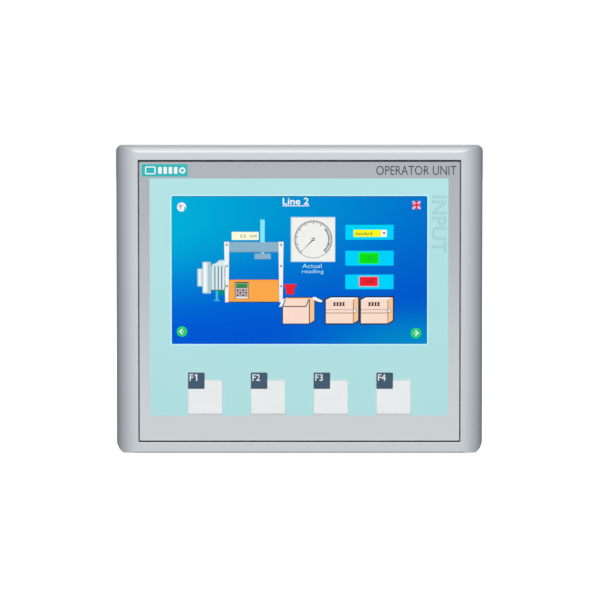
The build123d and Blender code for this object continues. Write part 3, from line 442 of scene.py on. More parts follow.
@dataclass(frozen=True)
class DisplayInk:
    """One colour of the lit display, with the fine grid of its picture elements.

    Attributes:
        name: the material's name.
        colour: the colour as light.
        pitch: the spacing of the picture elements, in millimetres.
        groove: the dark share of that spacing.
        contrast: how much darker the grooves are.
    """

    name: str
    colour: Colour
    pitch: float = 0.2
    groove: float = 0.12
    contrast: float = 0.08

    def grid(self, graph: Graph) -> Sock:
        """Give the brightness across the picture elements."""
        columns = (graph.axis("X") * (1 / self.pitch)).fraction().above(self.groove)
        rows = (graph.axis("Z") * (1 / self.pitch)).fraction().above(self.groove)
        return columns * rows

    def light(self, graph: Graph) -> "Sock | Colour":
        """Give the colour before the grid is laid over it."""
        return self.colour

    def make(self) -> Material:
        """Build the material."""
        graph = Graph(self.name)
        colour = self.light(graph)
        lit = colour if isinstance(colour, Sock) else graph.blend(graph.noise(30.0), colour, colour)
        dimmed = graph.blend(1 - self.contrast + self.grid(graph) * self.contrast, NO_LIGHT, lit)
        inputs = {
            "Base Color": (0.0003, 0.0003, 0.0004, 1.0),
            "Roughness": 0.5,
            "Specular IOR Level": 0.0,
            "Emission Color": dimmed,
            "Emission Strength": 1.0,
        }
        return graph.close(graph.make("ShaderNodeBsdfPrincipled", {}, inputs))


@dataclass(frozen=True)
class DisplaySky(DisplayInk):
    """The display's background: cyan at the upper left, running to deep blue below."""

    def light(self, graph: Graph) -> Sock:
        """Give the background's colour."""
        low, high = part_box("display_window")
        across = (graph.axis("X") - low.x / MM) * (MM / (high.x - low.x))
        down = (high.z / MM - graph.axis("Z")) * (MM / (high.z - low.z))
        slant = (1 - across) * 0.2
        upper = 171 - across * 62
        green = upper + (83 - upper) * down.smooth(slant, slant + 0.8)
        glow = across.smooth(0.35, 0.95) * down.smooth(0.66, 1.0)
        inputs = {
            "Red": 0.0,
            "Green": ((green + glow * 48 + 5) * (1 / 255)) ** SCREEN_GAMMA,
            "Blue": ((218 - across * 11 - down * 6) * (1 / 255)) ** SCREEN_GAMMA,
        }
        return graph.out(graph.make("ShaderNodeCombineColor", {}, inputs))


@dataclass(frozen=True)
class ClearSheet:
    """Clear film or glass: light goes straight through, apart from a faint gloss.

    Attributes:
        name: the material's name.
        index: how strongly the surface mirrors, as a refractive index.
        haze: the roughness of that gloss.
    """

    name: str
    index: float
    haze: float

    def make(self) -> Material:
        """Build the material."""
        graph = Graph(self.name)
        scuffs = graph.noise(0.4)
        gloss = graph.make("ShaderNodeBsdfPrincipled", {}, {
            "Base Color": (0.9, 0.92, 0.95, 1.0),
            "Roughness": self.haze + scuffs * self.haze,
            "Metallic": 1.0,
        })
        clear = graph.make("ShaderNodeBsdfTransparent")
        edge = graph.out(graph.make("ShaderNodeFresnel", {}, {"IOR": self.index}))
        mixed = graph.make("ShaderNodeMixShader", {}, {0: edge, 1: graph.out(clear), 2: graph.out(gloss)})
        return graph.close(mixed)


Finish = Surface | PaintedSideShadePlastic | PaintedShadeFoil | Lacquer | DisplayInk | ClearSheet

METAL_STRETCH = (1.0, 1.0, 14.0)

FINISHES: dict[str, Finish] = {finish.name: finish for finish in (
    # painted shade: the bezel darkens towards its outer sides
    PaintedSideShadePlastic("bezel_grey", (206, 211, 215), (166, 175, 183), "front_bezel"),
    # painted shade: the foil is darker at the top, paler at the bottom
    PaintedShadeFoil("foil_grey", (173, 178, 184), (208, 213, 216), "overlay_foil"),
    ClearSheet("window_clear", 1.07, 0.08),
    ClearSheet("touch_glass", 1.07, 0.02),
    Surface("key_white", (240, 244, 245), (236, 240, 241), 8.0, 0.35, 0.005, (0.4, 0.5)),
    Surface("tile_blue", (60, 88, 112), (54, 82, 106), 5.0, 0.35, 0.004, (0.38, 0.48)),
    Surface("mat_silicone", (160, 163, 168), (150, 153, 158), 9.0, 0.6, 0.01, (0.6, 0.75)),
    Lacquer("board_green", (22, 92, 52), (34, 122, 66)),
    Surface("lcd_glass", (30, 33, 40), (22, 25, 31), 15.0, 0.4, 0.002, (0.08, 0.16), coat=0.6),
    Surface("guide_clear", (232, 236, 240), (222, 227, 233), 12.0, 0.5, 0.003, (0.1, 0.2)),
    Surface(
        "sheet_steel", (196, 198, 200), (176, 179, 183), 6.0, 0.5, 0.004, (0.28, 0.42), 1.0,
        stretch=METAL_STRETCH
    ),
    Surface("screw_steel", (198, 198, 196), (170, 170, 168), 2.0, 0.25, 0.01, (0.22, 0.4), 1.0),
    Surface("flex_amber", (196, 120, 44), (160, 90, 30), 3.0, 0.4, 0.004, (0.2, 0.32), coat=0.3),
    Surface("socket_ivory", (226, 220, 200), (216, 209, 188), 4.0, 0.3, 0.005, (0.4, 0.55)),
    Surface("chip_black", (38, 38, 40), (28, 28, 30), 4.0, 0.2, 0.008, (0.5, 0.66)),
    Surface(
        "spreader_aluminium", (214, 216, 218), (196, 199, 203), 5.0, 0.3, 0.006, (0.3, 0.45), 1.0,
        stretch=METAL_STRETCH
    ),
    Surface("can_aluminium", (222, 223, 225), (206, 208, 211), 3.0, 0.3, 0.003, (0.2, 0.32), 1.0),
    Surface(
        "jack_metal", (205, 205, 204), (186, 187, 188), 4.0, 0.3, 0.004, (0.2, 0.36), 1.0,
        stretch=METAL_STRETCH
    ),
    Surface("jack_black", (44, 44, 46), (34, 34, 36), 4.0, 0.3, 0.01, (0.42, 0.58)),
    Surface("contact_gold", (236, 200, 120), (218, 176, 92), 1.5, 0.2, 0.002, (0.14, 0.25), 1.0),
    Surface("tinned_metal", (212, 212, 210), (190, 191, 192), 2.0, 0.3, 0.006, (0.24, 0.4), 1.0),
    Surface("plug_green", (38, 140, 78), (30, 124, 68), 5.0, 0.3, 0.008, (0.34, 0.48)),
    Surface("housing_dark", (72, 75, 79), (62, 65, 69), 14.0, 0.45, 0.03, (0.46, 0.62)),
    Surface("gasket_rubber", (44, 44, 45), (34, 34, 35), 3.0, 0.35, 0.04, (0.7, 0.88)),
    Surface("plate_silver", (206, 208, 211), (196, 199, 203), 9.0, 0.3, 0.003, (0.3, 0.42), 0.35),
    Surface("clip_dark", (88, 90, 94), (76, 78, 82), 5.0, 0.4, 0.02, (0.44, 0.6)),
    Surface("pad_black", (48, 48, 50), (38, 38, 40), 2.0, 0.3, 0.012, (0.45, 0.6)),
)}

PRINTS: dict[str, Finish] = {
    "field": Surface(
        "print_turquoise", (180, 229, 231), (177, 227, 229), 30.0, 0.35, 0.006, (0.42, 0.55)
    ),
    "halo": Surface("print_halo", (196, 250, 255), (188, 246, 255), 12.0, 0.35, 0.004, (0.4, 0.5)),
    "tile": Surface("print_teal", (24, 186, 187), (18, 181, 183), 12.0, 0.35, 0.005, (0.4, 0.5)),
    "white": Surface("print_white", (246, 248, 249), (240, 243, 245), 6.0, 0.35, 0.003, (0.4, 0.5)),
    "slate": Surface("print_slate", (40, 52, 64), (46, 59, 71), 4.0, 0.35, 0.003, (0.42, 0.52)),
    "faint": Surface("print_faint", (154, 202, 204), (160, 206, 208), 4.0, 0.35, 0.003, (0.42, 0.52)),
    "black": Surface("print_black", (32, 33, 35), (26, 27, 29), 4.0, 0.3, 0.003, (0.4, 0.5)),
    # painted shade: black for the ring that darkens the gap round the foil
    "rubber": Surface("gap_painted_shade_black", (26, 26, 28), (18, 18, 20), 3.0, 0.3, 0.01, (0.6, 0.8)),
    "pale": Surface("print_pale", (204, 206, 208), (194, 196, 199), 4.0, 0.3, 0.003, (0.45, 0.55)),
    "lamp_green": Surface(
        "lamp_green", (90, 190, 110), (70, 176, 96), 1.0, 0.3, 0.003, (0.16, 0.24), coat=0.4
    ),
    "lamp_amber": Surface(
        "lamp_amber", (236, 176, 66), (226, 160, 50), 1.0, 0.3, 0.003, (0.16, 0.24), coat=0.4
    ),
}


class Ink(Enum):
    """Colours of the display's picture, as a screen shows them."""

    WHITE = (252, 253, 255)
    MASK = (18, 60, 110)
    BLACK = (14, 14, 22)
    LINE = (40, 44, 60)
    CREAM = (255, 253, 224)
    TEXT_BROWN = (120, 112, 70)
    TEXT_PALE = (196, 250, 250)
    ROD = (134, 232, 248)
    BEAM = (139, 180, 205)
    BEAM_DARK = (104, 150, 186)
    FRAME_WHITE = (240, 247, 252)
    MOTOR = (222, 238, 242)
    MOTOR_SHADE = (172, 204, 210)
    FIN = (72, 112, 112)
    STAND = (64, 190, 216)
    BOX_TEAL = (0, 140, 136)
    ORANGE = (254, 170, 76)
    ORANGE_DARK = (214, 132, 62)
    PAD = (186, 186, 184)
    PAD_GREEN = (40, 150, 70)
    PAD_KEY = (190, 110, 140)
    RED = (240, 34, 50)
    RED_DARK = (160, 26, 40)
    DIAL = (243, 244, 240)
    DIAL_EDGE = (190, 222, 240)
    CYAN = (0, 212, 254)
    YELLOW = (250, 250, 30)
    GREEN = (10, 226, 20)
    GREEN_RIM = (40, 240, 70)
    ARROW_GREEN = (44, 200, 110)
    PINK_GREY = (206, 176, 190)
    PEACH = (253, 222, 205)
    TAN = (250, 200, 150)
    CYAN_SHADE = (70, 200, 220)
    FLAG_BLUE = (96, 120, 200)


# ---------------------------------------------------------------- flat shapes


SHARPEST_MITRE = 0.35
THIN_STROKE = -0.008


@dataclass(frozen=True)
class Sheet:
    """A flat shape: points in millimetres, and faces that run anticlockwise."""

    points: list[Point]
    faces: list[tuple[int, ...]]


def polygon(outline: list[Point], *holes: list[Point]) -> Sheet:
    """Fill an outline.

    Args:
        outline: the corners of the shape.
        *holes: the corners of each hole.

    Returns:
        The filled shape.
    """
    loops = [outline, *holes]
    points = [point for loop in loops for point in loop]
    faces = []
    for a, b, c in tessellate_polygon([[Vector((u, v, 0.0)) for u, v in loop] for loop in loops]):
        (au, av), (bu, bv), (cu, cv) = points[a], points[b], points[c]
        turn = (bu - au) * (cv - av) - (bv - av) * (cu - au)
        faces.append((a, b, c) if turn > 0 else (a, c, b))
    return Sheet(points, faces)


def corners(u0: float, v0: float, u1: float, v1: float) -> list[Point]:
    """Give the four corners of an upright rectangle."""
    return [(u0, v0), (u1, v0), (u1, v1), (u0, v1)]


def rect(u0: float, v0: float, u1: float, v1: float) -> Sheet:
    """Fill an upright rectangle."""
    return Sheet(corners(u0, v0, u1, v1), [(0, 1, 2, 3)])


def arc(cu: float, cv: float, radius: float, start: float, end: float, steps: int = 24) -> list[Point]:
    """Give points along an arc.

    Args:
        cu: its centre, to the right.
        cv: its centre, upwards.
        radius: its radius.
        start: where it starts, in degrees.
        end: where it ends, in degrees.
        steps: how many straight runs it has.

    Returns:
        The points, both ends among them.
    """
    angles = [math.radians(start + (end - start) * index / steps) for index in range(steps + 1)]
    return [(cu + radius * math.cos(angle), cv + radius * math.sin(angle)) for angle in angles]


def circle(cu: float, cv: float, radius: float, steps: int = 36) -> list[Point]:
    """Give points all round a circle."""
    return arc(cu, cv, radius, 0.0, 360.0, steps)[:-1]


def disc(cu: float, cv: float, radius: float) -> Sheet:
    """Fill a circle."""
    points = circle(cu, cv, radius)
    return Sheet(points, [tuple(range(len(points)))])


def rounded(u0: float, v0: float, u1: float, v1: float, radius: float) -> list[Point]:
    """Give the outline of a rectangle with round corners."""
    left, bottom, right, top = u0 + radius, v0 + radius, u1 - radius, v1 - radius
    outline = []
    for turn, (u, v) in enumerate(((right, top), (left, top), (left, bottom), (right, bottom))):
        outline += arc(u, v, radius, turn * 90, turn * 90 + 90, 5)
    return outline


def ribbon(path: list[Point], width: float, closed: bool = False) -> Sheet:
    """Draw a line of one width along a path.

    Args:
        path: the points that it follows.
        width: its width.
        closed: whether it runs back to its first point.

    Returns:
        The line as a filled shape.
    """
    count = len(path)
    left, right = [], []
    for index, (u, v) in enumerate(path):
        before = path[index - 1] if index or closed else path[index]
        after = path[(index + 1) % count] if index < count - 1 or closed else path[index]
        if before == (u, v):
            before = (2 * u - after[0], 2 * v - after[1])
        if after == (u, v):
            after = (2 * u - before[0], 2 * v - before[1])
        first = Vector((u - before[0], v - before[1])).normalized()
        second = Vector((after[0] - u, after[1] - v)).normalized()
        middle = (first + second).normalized()
        reach = width / 2 / max(middle.dot(second), SHARPEST_MITRE)
        left.append((u - middle.y * reach, v + middle.x * reach))
        right.append((u + middle.y * reach, v - middle.x * reach))
    faces = []
    for index in range(count if closed else count - 1):
        follow = (index + 1) % count
        faces.append((index, count + index, count + follow, follow))
    return Sheet(left + right, faces)


def lettering(text: str, area: Area, weight: float = 0.0, turned: bool = False) -> Sheet:
    """Set a word so that it fills an area.

    Args:
        text: the word.
        area: left, bottom, right and top of the area, in millimetres.
        weight: how far the strokes are thickened, as a share of the letter size.
        turned: whether the word reads downwards, with its feet to the left.

    Returns:
        The word as a filled shape.
    """
    curve = bpy.data.curves.new("lettering", "FONT")
    curve.body = text
    curve.offset = weight
    curve.resolution_u = 4
    holder = bpy.data.objects.new("lettering", curve)
    mesh = bpy.data.meshes.new_from_object(holder)
    merged: dict[Point, int] = {}
    index_of = [merged.setdefault((round(v.co.x, 5), round(v.co.y, 5)), len(merged)) for v in mesh.vertices]
    faces = []
    for face in mesh.polygons:
        ring = list(dict.fromkeys(index_of[vertex] for vertex in face.vertices))
        if len(ring) > 2:
            faces.append(tuple(ring) if face.normal.z > 0 else tuple(reversed(ring)))
    raw = list(merged)
    bpy.data.objects.remove(holder)
    bpy.data.curves.remove(curve)
    bpy.data.meshes.remove(mesh)
    if turned:
        raw = [(v, -u) for u, v in raw]
    left, right = min(u for u, _ in raw), max(u for u, _ in raw)
    low, high = min(v for _, v in raw), max(v for _, v in raw)
    across = (area[2] - area[0]) / (right - left)
    upward = (area[3] - area[1]) / (high - low)
    return Sheet([(area[0] + (u - left) * across, area[1] + (v - low) * upward) for u, v in raw], faces)


class Relief:
    """Thin closed plates laid on a plane, as one mesh with one material for each colour."""

    def __init__(self, name: str, origin: Vector, right: Vector, up: Vector, step: float = 0.01) -> None:
        """Set the plane.

        Args:
            name: the piece's name.
            origin: the plane's zero point, in metres.
            right: the direction of its first axis.
            up: the direction of its second axis.
            step: the thickness of a plate, in millimetres.
        """
        self.name = name
        self.origin = origin
        self.right = right
        self.up = up
        self.out = right.cross(up).normalized()
        self.step = step
        self.points: list[Vector] = []
        self.faces: list[tuple[int, ...]] = []
        self.slots: list[int] = []
        self.materials: list[Material] = []

    def _place(self, point: Point, height: float) -> Vector:
        """Put a flat point at a height over the plane, both in millimetres."""
        return self.origin + (self.right * point[0] + self.up * point[1] + self.out * height) * MM

    def lay(self, material: Material, sheet: Sheet, level: int = 1) -> None:
        """Lay one closed plate.

        Args:
            material: its colour.
            sheet: its shape.
            level: its place in the stack, counted from one.
        """
        if material not in self.materials:
            self.materials.append(material)
        start = len(self.points)
        count = len(sheet.points)
        self.points += [self._place(point, level * self.step) for point in sheet.points]
        self.points += [self._place(point, (level - 1) * self.step) for point in sheet.points]
        edges = {(face[i - 1], face[i]) for face in sheet.faces for i in range(len(face))}
        plate = [tuple(start + i for i in face) for face in sheet.faces]
        plate += [tuple(start + count + i for i in reversed(face)) for face in sheet.faces]
        for a, b in sorted(edges):
            if (b, a) not in edges:
                plate.append((start + b, start + a, start + count + a, start + count + b))
        self.faces += plate
        self.slots += [self.materials.index(material)] * len(plate)

    def finish(self, body: str, slot: str) -> bpy.types.Object:
        """Make the piece.

        Args:
            body: the body that it rides on.
            slot: the name of a material slot; not used.

        Returns:
            The piece.
        """
        mesh = bpy.data.meshes.new(self.name)
        mesh.from_pydata(self.points, [], self.faces)
        for material in self.materials:
            mesh.materials.append(material)
        mesh.polygons.foreach_set("material_index", self.slots)
        mesh.update()
        piece = bpy.data.objects.new(self.name, mesh)
        bpy.context.scene.collection.objects.link(piece)
        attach(piece, body)
        log.info("%s: %d faces on %s", self.name, len(self.faces), body)
        return piece


RIGHT = Vector((1.0, 0.0, 0.0))
UP = Vector((0.0, 0.0, 1.0))
BACK = Vector((0.0, 1.0, 0.0))


# ---------------------------------------------------------------- sub-assemblies


@dataclass
class CadParts:
    """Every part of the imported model, which keeps its shape and gets its finish."""

    def dress(self) -> None:
        """Give each part the material of its slot."""
        made = {name: finish.make() for name, finish in FINISHES.items()}
        for row in frame["record"]["subparts"]:
            part = frame["nodes"][row["node"]]
            if not part.material_slots:
                part.data.materials.append(made[row["material_slot"]])
            for slot in part.material_slots:
                slot.link = "OBJECT"
                slot.material = made[row["material_slot"]]
            log.info("%s: %s", row["node"], row["material_slot"])


@dataclass
class FoilPrint:
    """The prints on the front of the overlay foil. Sizes are in millimetres from the panel's centre."""

    field: Area = (-57.15, -44.25, 56.8, 46.85)
    tile: Area = (-60.1, 47.6, -42.6, 52.3)
    title: Area = (29.3, 48.2, 59.8, 51.7)
    mark: Area = (50.5, 18.3, 56.0, 40.3)
    halo: float = 0.5
    key_gap: float = 0.06
    key_size: tuple[float, float] = (13.1, 12.9)
    key_drop: float = -6.3
    tile_fit: float = 0.05
    window_fit: float = 0.06
    window_radius: float = 0.5
    sign_half: float = 1.3
    sign_line: float = 0.45
    sign_pitch: float = 2.0
    mark_line: float = 0.28

    def build(self, ink: Inks) -> None:
        """Lay the turquoise field, the halo, the name tile and the words.

        Args:
            ink: the print materials.
        """
        low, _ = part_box("overlay_foil")
        print_ = Relief("foil_print", Vector((0.0, low.y, 0.0)), RIGHT, UP)
        window = self._window(0.0)
        print_.lay(ink["field"], polygon(self._field_outline(), self._window(self.halo)))
        print_.lay(ink["halo"], polygon(self._window(self.halo), window))
        self._name_tile(print_, ink)
        print_.lay(ink["slate"], lettering("OPERATOR UNIT", self.title, -0.002))
        self._mark(print_, ink)
        print_.finish("panel", "foil_grey")

    def _window(self, margin: float) -> list[Point]:
        """Give the window's outline, widened by a margin."""
        low, high = (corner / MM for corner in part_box("display_window"))
        grown = self.window_fit + margin
        radius = self.window_radius + margin
        return rounded(low.x - grown, low.z - grown, high.x + grown, high.z + grown, radius)

    def _field_outline(self) -> list[Point]:
        """Give the field's outline, which steps up and round each key."""
        left, bottom, right, top = self.field
        outline = [(left, bottom)]
        for index in range(1, 5):
            low, high = (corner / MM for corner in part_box(f"key_tile_{index}"))
            gap = self.tile_fit + self.key_gap
            start = low.x - gap
            end = low.x - self.tile_fit + self.key_size[0] + self.key_gap
            shoulder = (low.z + high.z) / 2 + self.key_drop + self.key_size[1] / 2 + self.key_gap
            crown = high.z + gap
            step = high.x + gap
            outline += [(start, bottom), (start, crown), (step, crown)]
            outline += [(step, shoulder), (end, shoulder), (end, bottom)]
        return outline + [(right, bottom), (right, top), (left, top)]

    def _name_tile(self, print_: Relief, ink: Inks) -> None:
        """Lay the teal tile with its row of plain signs."""
        left, bottom, right, top = self.tile
        middle = (bottom + top) / 2
        low, high = middle - self.sign_half, middle + self.sign_half
        print_.lay(ink["tile"], rect(*self.tile))
        start = left + 1.5
        screen = rounded(start, low, start + 3.6, high, 0.3)
        print_.lay(ink["white"], ribbon(screen, self.sign_line, True), 2)
        for index in range(4):
            start = left + 6.3 + index * self.sign_pitch
            print_.lay(ink["white"], polygon(rounded(start, low, start + 1.3, high, 0.25)), 2)
        print_.lay(ink["white"], disc(right - 2.0, middle, 1.2), 2)
        print_.lay(ink["tile"], disc(right - 2.0, middle, 0.6), 3)

    def _mark(self, print_: Relief, ink: Inks) -> None:
        """Lay the faint outlined word that reads downwards."""
        left, bottom, right, top = self.mark
        line = self.mark_line
        print_.lay(ink["faint"], lettering("INPUT", self.mark, 0.012, True), 2)
        inner = (left + line, bottom + line, right - line, top - line)
        print_.lay(ink["field"], lettering("INPUT", inner, -0.03, True), 3)


@dataclass
class PaintedGapShade:
    """A black ring in the gutter round the foil: painted shade that darkens the gap there. Sizes are in
    millimetres.
    """

    clearance: float = 0.04
    side_width: float = 0.22
    top_width: float = 0.6
    bottom_width: float = 0.5
    foot: float = 0.5
    thickness: float = 0.78

    def build(self, ink: Inks) -> None:
        """Lay the ring of painted shade in the gutter: full above and below the foil, narrow beside it.

        Args:
            ink: the print materials.
        """
        low, high = (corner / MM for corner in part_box("overlay_foil"))
        origin = Vector((0.0, (high.y + self.foot) * MM, 0.0))
        gap_shade_ring = Relief("foil_gap_painted_shade", origin, RIGHT, UP, self.thickness)
        gap = self.clearance
        inner = corners(low.x - gap, low.z - gap, high.x + gap, high.z + gap)
        reach = high.x + gap + self.side_width
        outer = corners(-reach, low.z - gap - self.bottom_width, reach, high.z + gap + self.top_width)
        # painted shade: a black ring that darkens the gap round the foil, widest above and below it
        gap_shade_ring.lay(ink["rubber"], polygon(outer, inner))
        gap_shade_ring.finish("panel", "gasket_rubber")


@dataclass
class KeyPrint:
    """The key number in the name tile of each function key."""

    height: float = 2.6
    width: float = 2.9
    margin: float = 0.55
    weight: float = 0.008
    stem: float = 0.464
    flag: float = 0.55

    def build(self, ink: Inks) -> None:
        """Lay F1 to F4, each on its own key.

        Args:
            ink: the print materials.
        """
        for index in range(1, 5):
            low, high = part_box(f"key_tile_{index}")
            print_ = Relief(f"key_number_{index}", Vector((low.x, low.y, high.z)), RIGHT, UP)
            area = (self.margin, -self.margin - self.height, self.margin + self.width, -self.margin)
            if index == 1:
                self._first(print_, ink["white"], area)
            else:
                print_.lay(ink["white"], lettering(f"F{index}", area, self.weight))
            print_.finish(f"key_{index}", "key_white")

    def _first(self, print_: Relief, white: Material, area: Area) -> None:
        """Lay F1, whose figure has a flag on its stem.

        Args:
            print_: the layer that it belongs to.
            white: the print material.
            area: the room that it fills: left, bottom, right and top.
        """
        left, bottom, right, top = area
        letter = (left, bottom, left + self.width * 0.48, top)
        print_.lay(white, lettering("F", letter, self.weight))
        stem = right - self.stem
        tip = stem - self.flag
        figure = [(stem, bottom), (right, bottom), (right, top), (stem + 0.1, top)]
        figure += [(tip, top - 0.5), (tip, top - 0.85), (stem, top - self.flag)]
        print_.lay(white, polygon(figure))


class Drawing(Relief):
    """One layer of the display's picture, which takes its colours by name."""

    def __init__(self, name: str, origin: Vector, up: Vector, inks: dict[Ink, Material]) -> None:
        """Set the layer's plane and its colours.

        Args:
            name: the piece's name.
            origin: the middle of the picture, in metres.
            up: the upward direction, whose length stretches the picture.
            inks: the material of each colour.
        """
        super().__init__(name, origin, RIGHT, up)
        self.inks = inks

    def draw(self, colour: Ink, sheet: Sheet, level: int = 1) -> None:
        """Lay one shape in a colour, at a level of the stack."""
        self.lay(self.inks[colour], sheet, level)

    def bars(self, colour: Ink, level: int, *areas: Area) -> None:
        """Lay upright rectangles of one colour, at a level of the stack."""
        for area in areas:
            self.draw(colour, rect(*area), level)


@dataclass
class DisplayPicture:
    """The picture that the display shows. Places are in millimetres from the middle of the window."""

    edges: Area = (-48.5, -28.35, 48.75, 28.0)
    mask_width: float = 3.2
    clearance: float = 0.005
    shift: tuple[float, float] = (-0.15, -0.17)
    stretch: float = 1.0054
    outline: float = 0.34
    carton_outline: float = 0.5
    posts: tuple[Point, ...] = ((-28.5, -26.7), (-7.8, -6.0))
    bolts: tuple[float, ...] = (9.7, 1.6, -6.1)
    dial_centre: Point = (5.45, 11.7)
    dial_radius: float = 7.05
    field_sides: Point = (17.7, 36.1)
    field_rows: tuple[Point, ...] = ((11.6, 17.3), (1.7, 7.4), (-7.3, -1.7))
    closed_cartons: tuple[Triple, ...] = ((10.0, 20.75, 22.85), (23.4, 33.95, 36.1))
    arrows: tuple[Triple, ...] = ((-44.75, -23.5, -1), (44.7, -24.1, 1))
    arrow_radius: float = 1.95

    def __post_init__(self) -> None:
        """Make the colours and set the plane just in front of the display cell."""
        self.inks = {}
        for colour in Ink:
            self.inks[colour] = DisplayInk(f"display_{colour.name.lower()}", tint(colour.value)).make()
        window_low, window_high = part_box("display_window")
        middle = (window_low + window_high) / 2
        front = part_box("lcd_cell")[0].y - self.clearance * MM
        self.centre = Vector((middle.x + self.shift[0] * MM, front, middle.z + self.shift[1] * MM))

    def _sheet(self, name: str) -> Drawing:
        """Start one layer of the picture."""
        return Drawing(name, self.centre, UP * self.stretch, self.inks)

    def _done(self, relief: Drawing) -> None:
        """Close one layer of the picture."""
        relief.finish("panel", "lcd_glass")

    def build(self) -> None:
        """Draw the whole picture."""
        self._background()
        self._titles()
        self._press()
        self._motor()
        self._gauge()
        self._fields()
        self._cartons()
        self._corner_signs()

    def _background(self) -> None:
        """Draw the blue background and the dark mask round it."""
        layer = self._sheet("display_background")
        left, bottom, right, top = self.edges
        reach = self.mask_width
        edge = corners(left, bottom, right, top)
        outer = corners(left - reach, bottom - reach, right + reach, top + reach)
        layer.lay(DisplaySky("display_sky", (0.0, 0.0, 0.0)).make(), polygon(edge))
        layer.draw(Ink.MASK, polygon(outer, edge))
        self._done(layer)

    def _titles(self) -> None:
        """Draw the title with its underline, and the two words under the gauge."""
        layer = self._sheet("display_titles")
        layer.draw(Ink.WHITE, lettering("Line 2", (-6.2, 25.0, 3.7, 27.6), 0.012), 2)
        layer.bars(Ink.WHITE, 2, (-6.3, 24.4, 3.9, 24.68))
        for word, area in (("Actual", (1.3, 0.8, 8.6, 2.4)), ("reading", (1.1, -1.6, 9.4, 0.25))):
            layer.draw(Ink.TEXT_PALE, lettering(word, area, THIN_STROKE), 2)
        self._done(layer)

    def _press(self) -> None:
        """Draw the frame with its ram, value box, tank, keypad and outlet."""
        layer = self._sheet("display_press")
        layer.bars(Ink.CREAM, 2, (-25.7, 11.5, -15.4, 14.6))
        layer.draw(Ink.TEXT_BROWN, lettering("0.0", (-22.4, 12.4, -20.2, 13.6)), 3)
        layer.draw(Ink.TEXT_BROWN, lettering("mm", (-18.8, 12.4, -16.1, 13.35)), 3)
        layer.bars(Ink.BEAM, 2, (-26.9, 6.9, -7.45, 10.7))
        layer.bars(Ink.BEAM_DARK, 3, (-26.9, 6.75, -7.45, 7.05))
        layer.bars(Ink.ROD, 3, (-14.8, 10.55, -13.1, 19.3))
        layer.bars(Ink.ROD, 2, (-14.6, 6.1, -13.3, 6.9))
        layer.bars(Ink.BEAM_DARK, 2, (-17.1, 4.1, -10.7, 6.35))
        layer.bars(Ink.BEAM, 3, (-16.9, 4.3, -10.9, 6.2))
        layer.bars(Ink.BLACK, 2, (-27.1, -12.3, -7.3, -12.0))
        layer.bars(Ink.ORANGE, 2, (-27.1, -12.1, -7.3, -3.65))
        layer.bars(Ink.ORANGE_DARK, 3, (-27.1, -3.85, -7.3, -3.6))
        for left, right in self.posts:
            self._post(layer, left, right)
        self._keypad(layer)
        outlet = [(-6.0, -5.4), (-5.15, -6.6), (-4.8, -9.2), (-2.1, -9.2), (-1.7, -6.6), (-0.7, -5.4)]
        layer.draw(Ink.RED_DARK, polygon([(u + 0.1, v - 0.15) for u, v in outlet]), 2)
        layer.draw(Ink.RED, polygon(outlet), 3)
        self._done(layer)

    def _post(self, layer: Drawing, left: float, right: float) -> None:
        """Draw one post of the frame with its bolts.

        Args:
            layer: the layer that it belongs to.
            left: its left edge.
            right: its right edge.
        """
        middle = (left + right) / 2
        foot, head = (right - left) / 2 - 0.35, (right - left) / 2
        for grow, colour, level in ((0.2, Ink.LINE, 3), (-0.1, Ink.FRAME_WHITE, 4)):
            sides = [(-foot, -12.2), (foot, -12.2), (head, 10.75), (-head, 10.75)]
            outline = [(middle + u + math.copysign(grow, u), v + math.copysign(grow, v)) for u, v in sides]
            layer.draw(colour, polygon(outline), level)
        for height in self.bolts:
            layer.draw(Ink.LINE, disc(middle, height, 0.42), 5)
            layer.draw(Ink.WHITE, disc(middle - 0.05, height + 0.08, 0.2), 6)

    def _keypad(self, layer: Drawing) -> None:
        """Draw the small control pad on the tank.

        Args:
            layer: the layer that it belongs to.
        """
        layer.bars(Ink.LINE, 3, (-24.5, -11.0, -19.2, -4.6))
        layer.bars(Ink.PAD, 4, (-24.3, -10.9, -19.35, -5.0))
        layer.bars(Ink.PAD_GREEN, 5, (-24.0, -6.5, -19.7, -5.2))
        layer.bars(Ink.LINE, 5, (-24.0, -6.75, -19.7, -6.5))
        for row in range(3):
            for column in range(4):
                u = -23.8 + column * 1.05
                v = -8.0 - row * 0.95
                colour = Ink.PAD_KEY if (row + column) % 2 else Ink.LINE
                layer.bars(colour, 5, (u, v, u + 0.7, v + 0.6))
        layer.bars(Ink.WHITE, 5, (-24.0, -10.75, -19.7, -10.35))

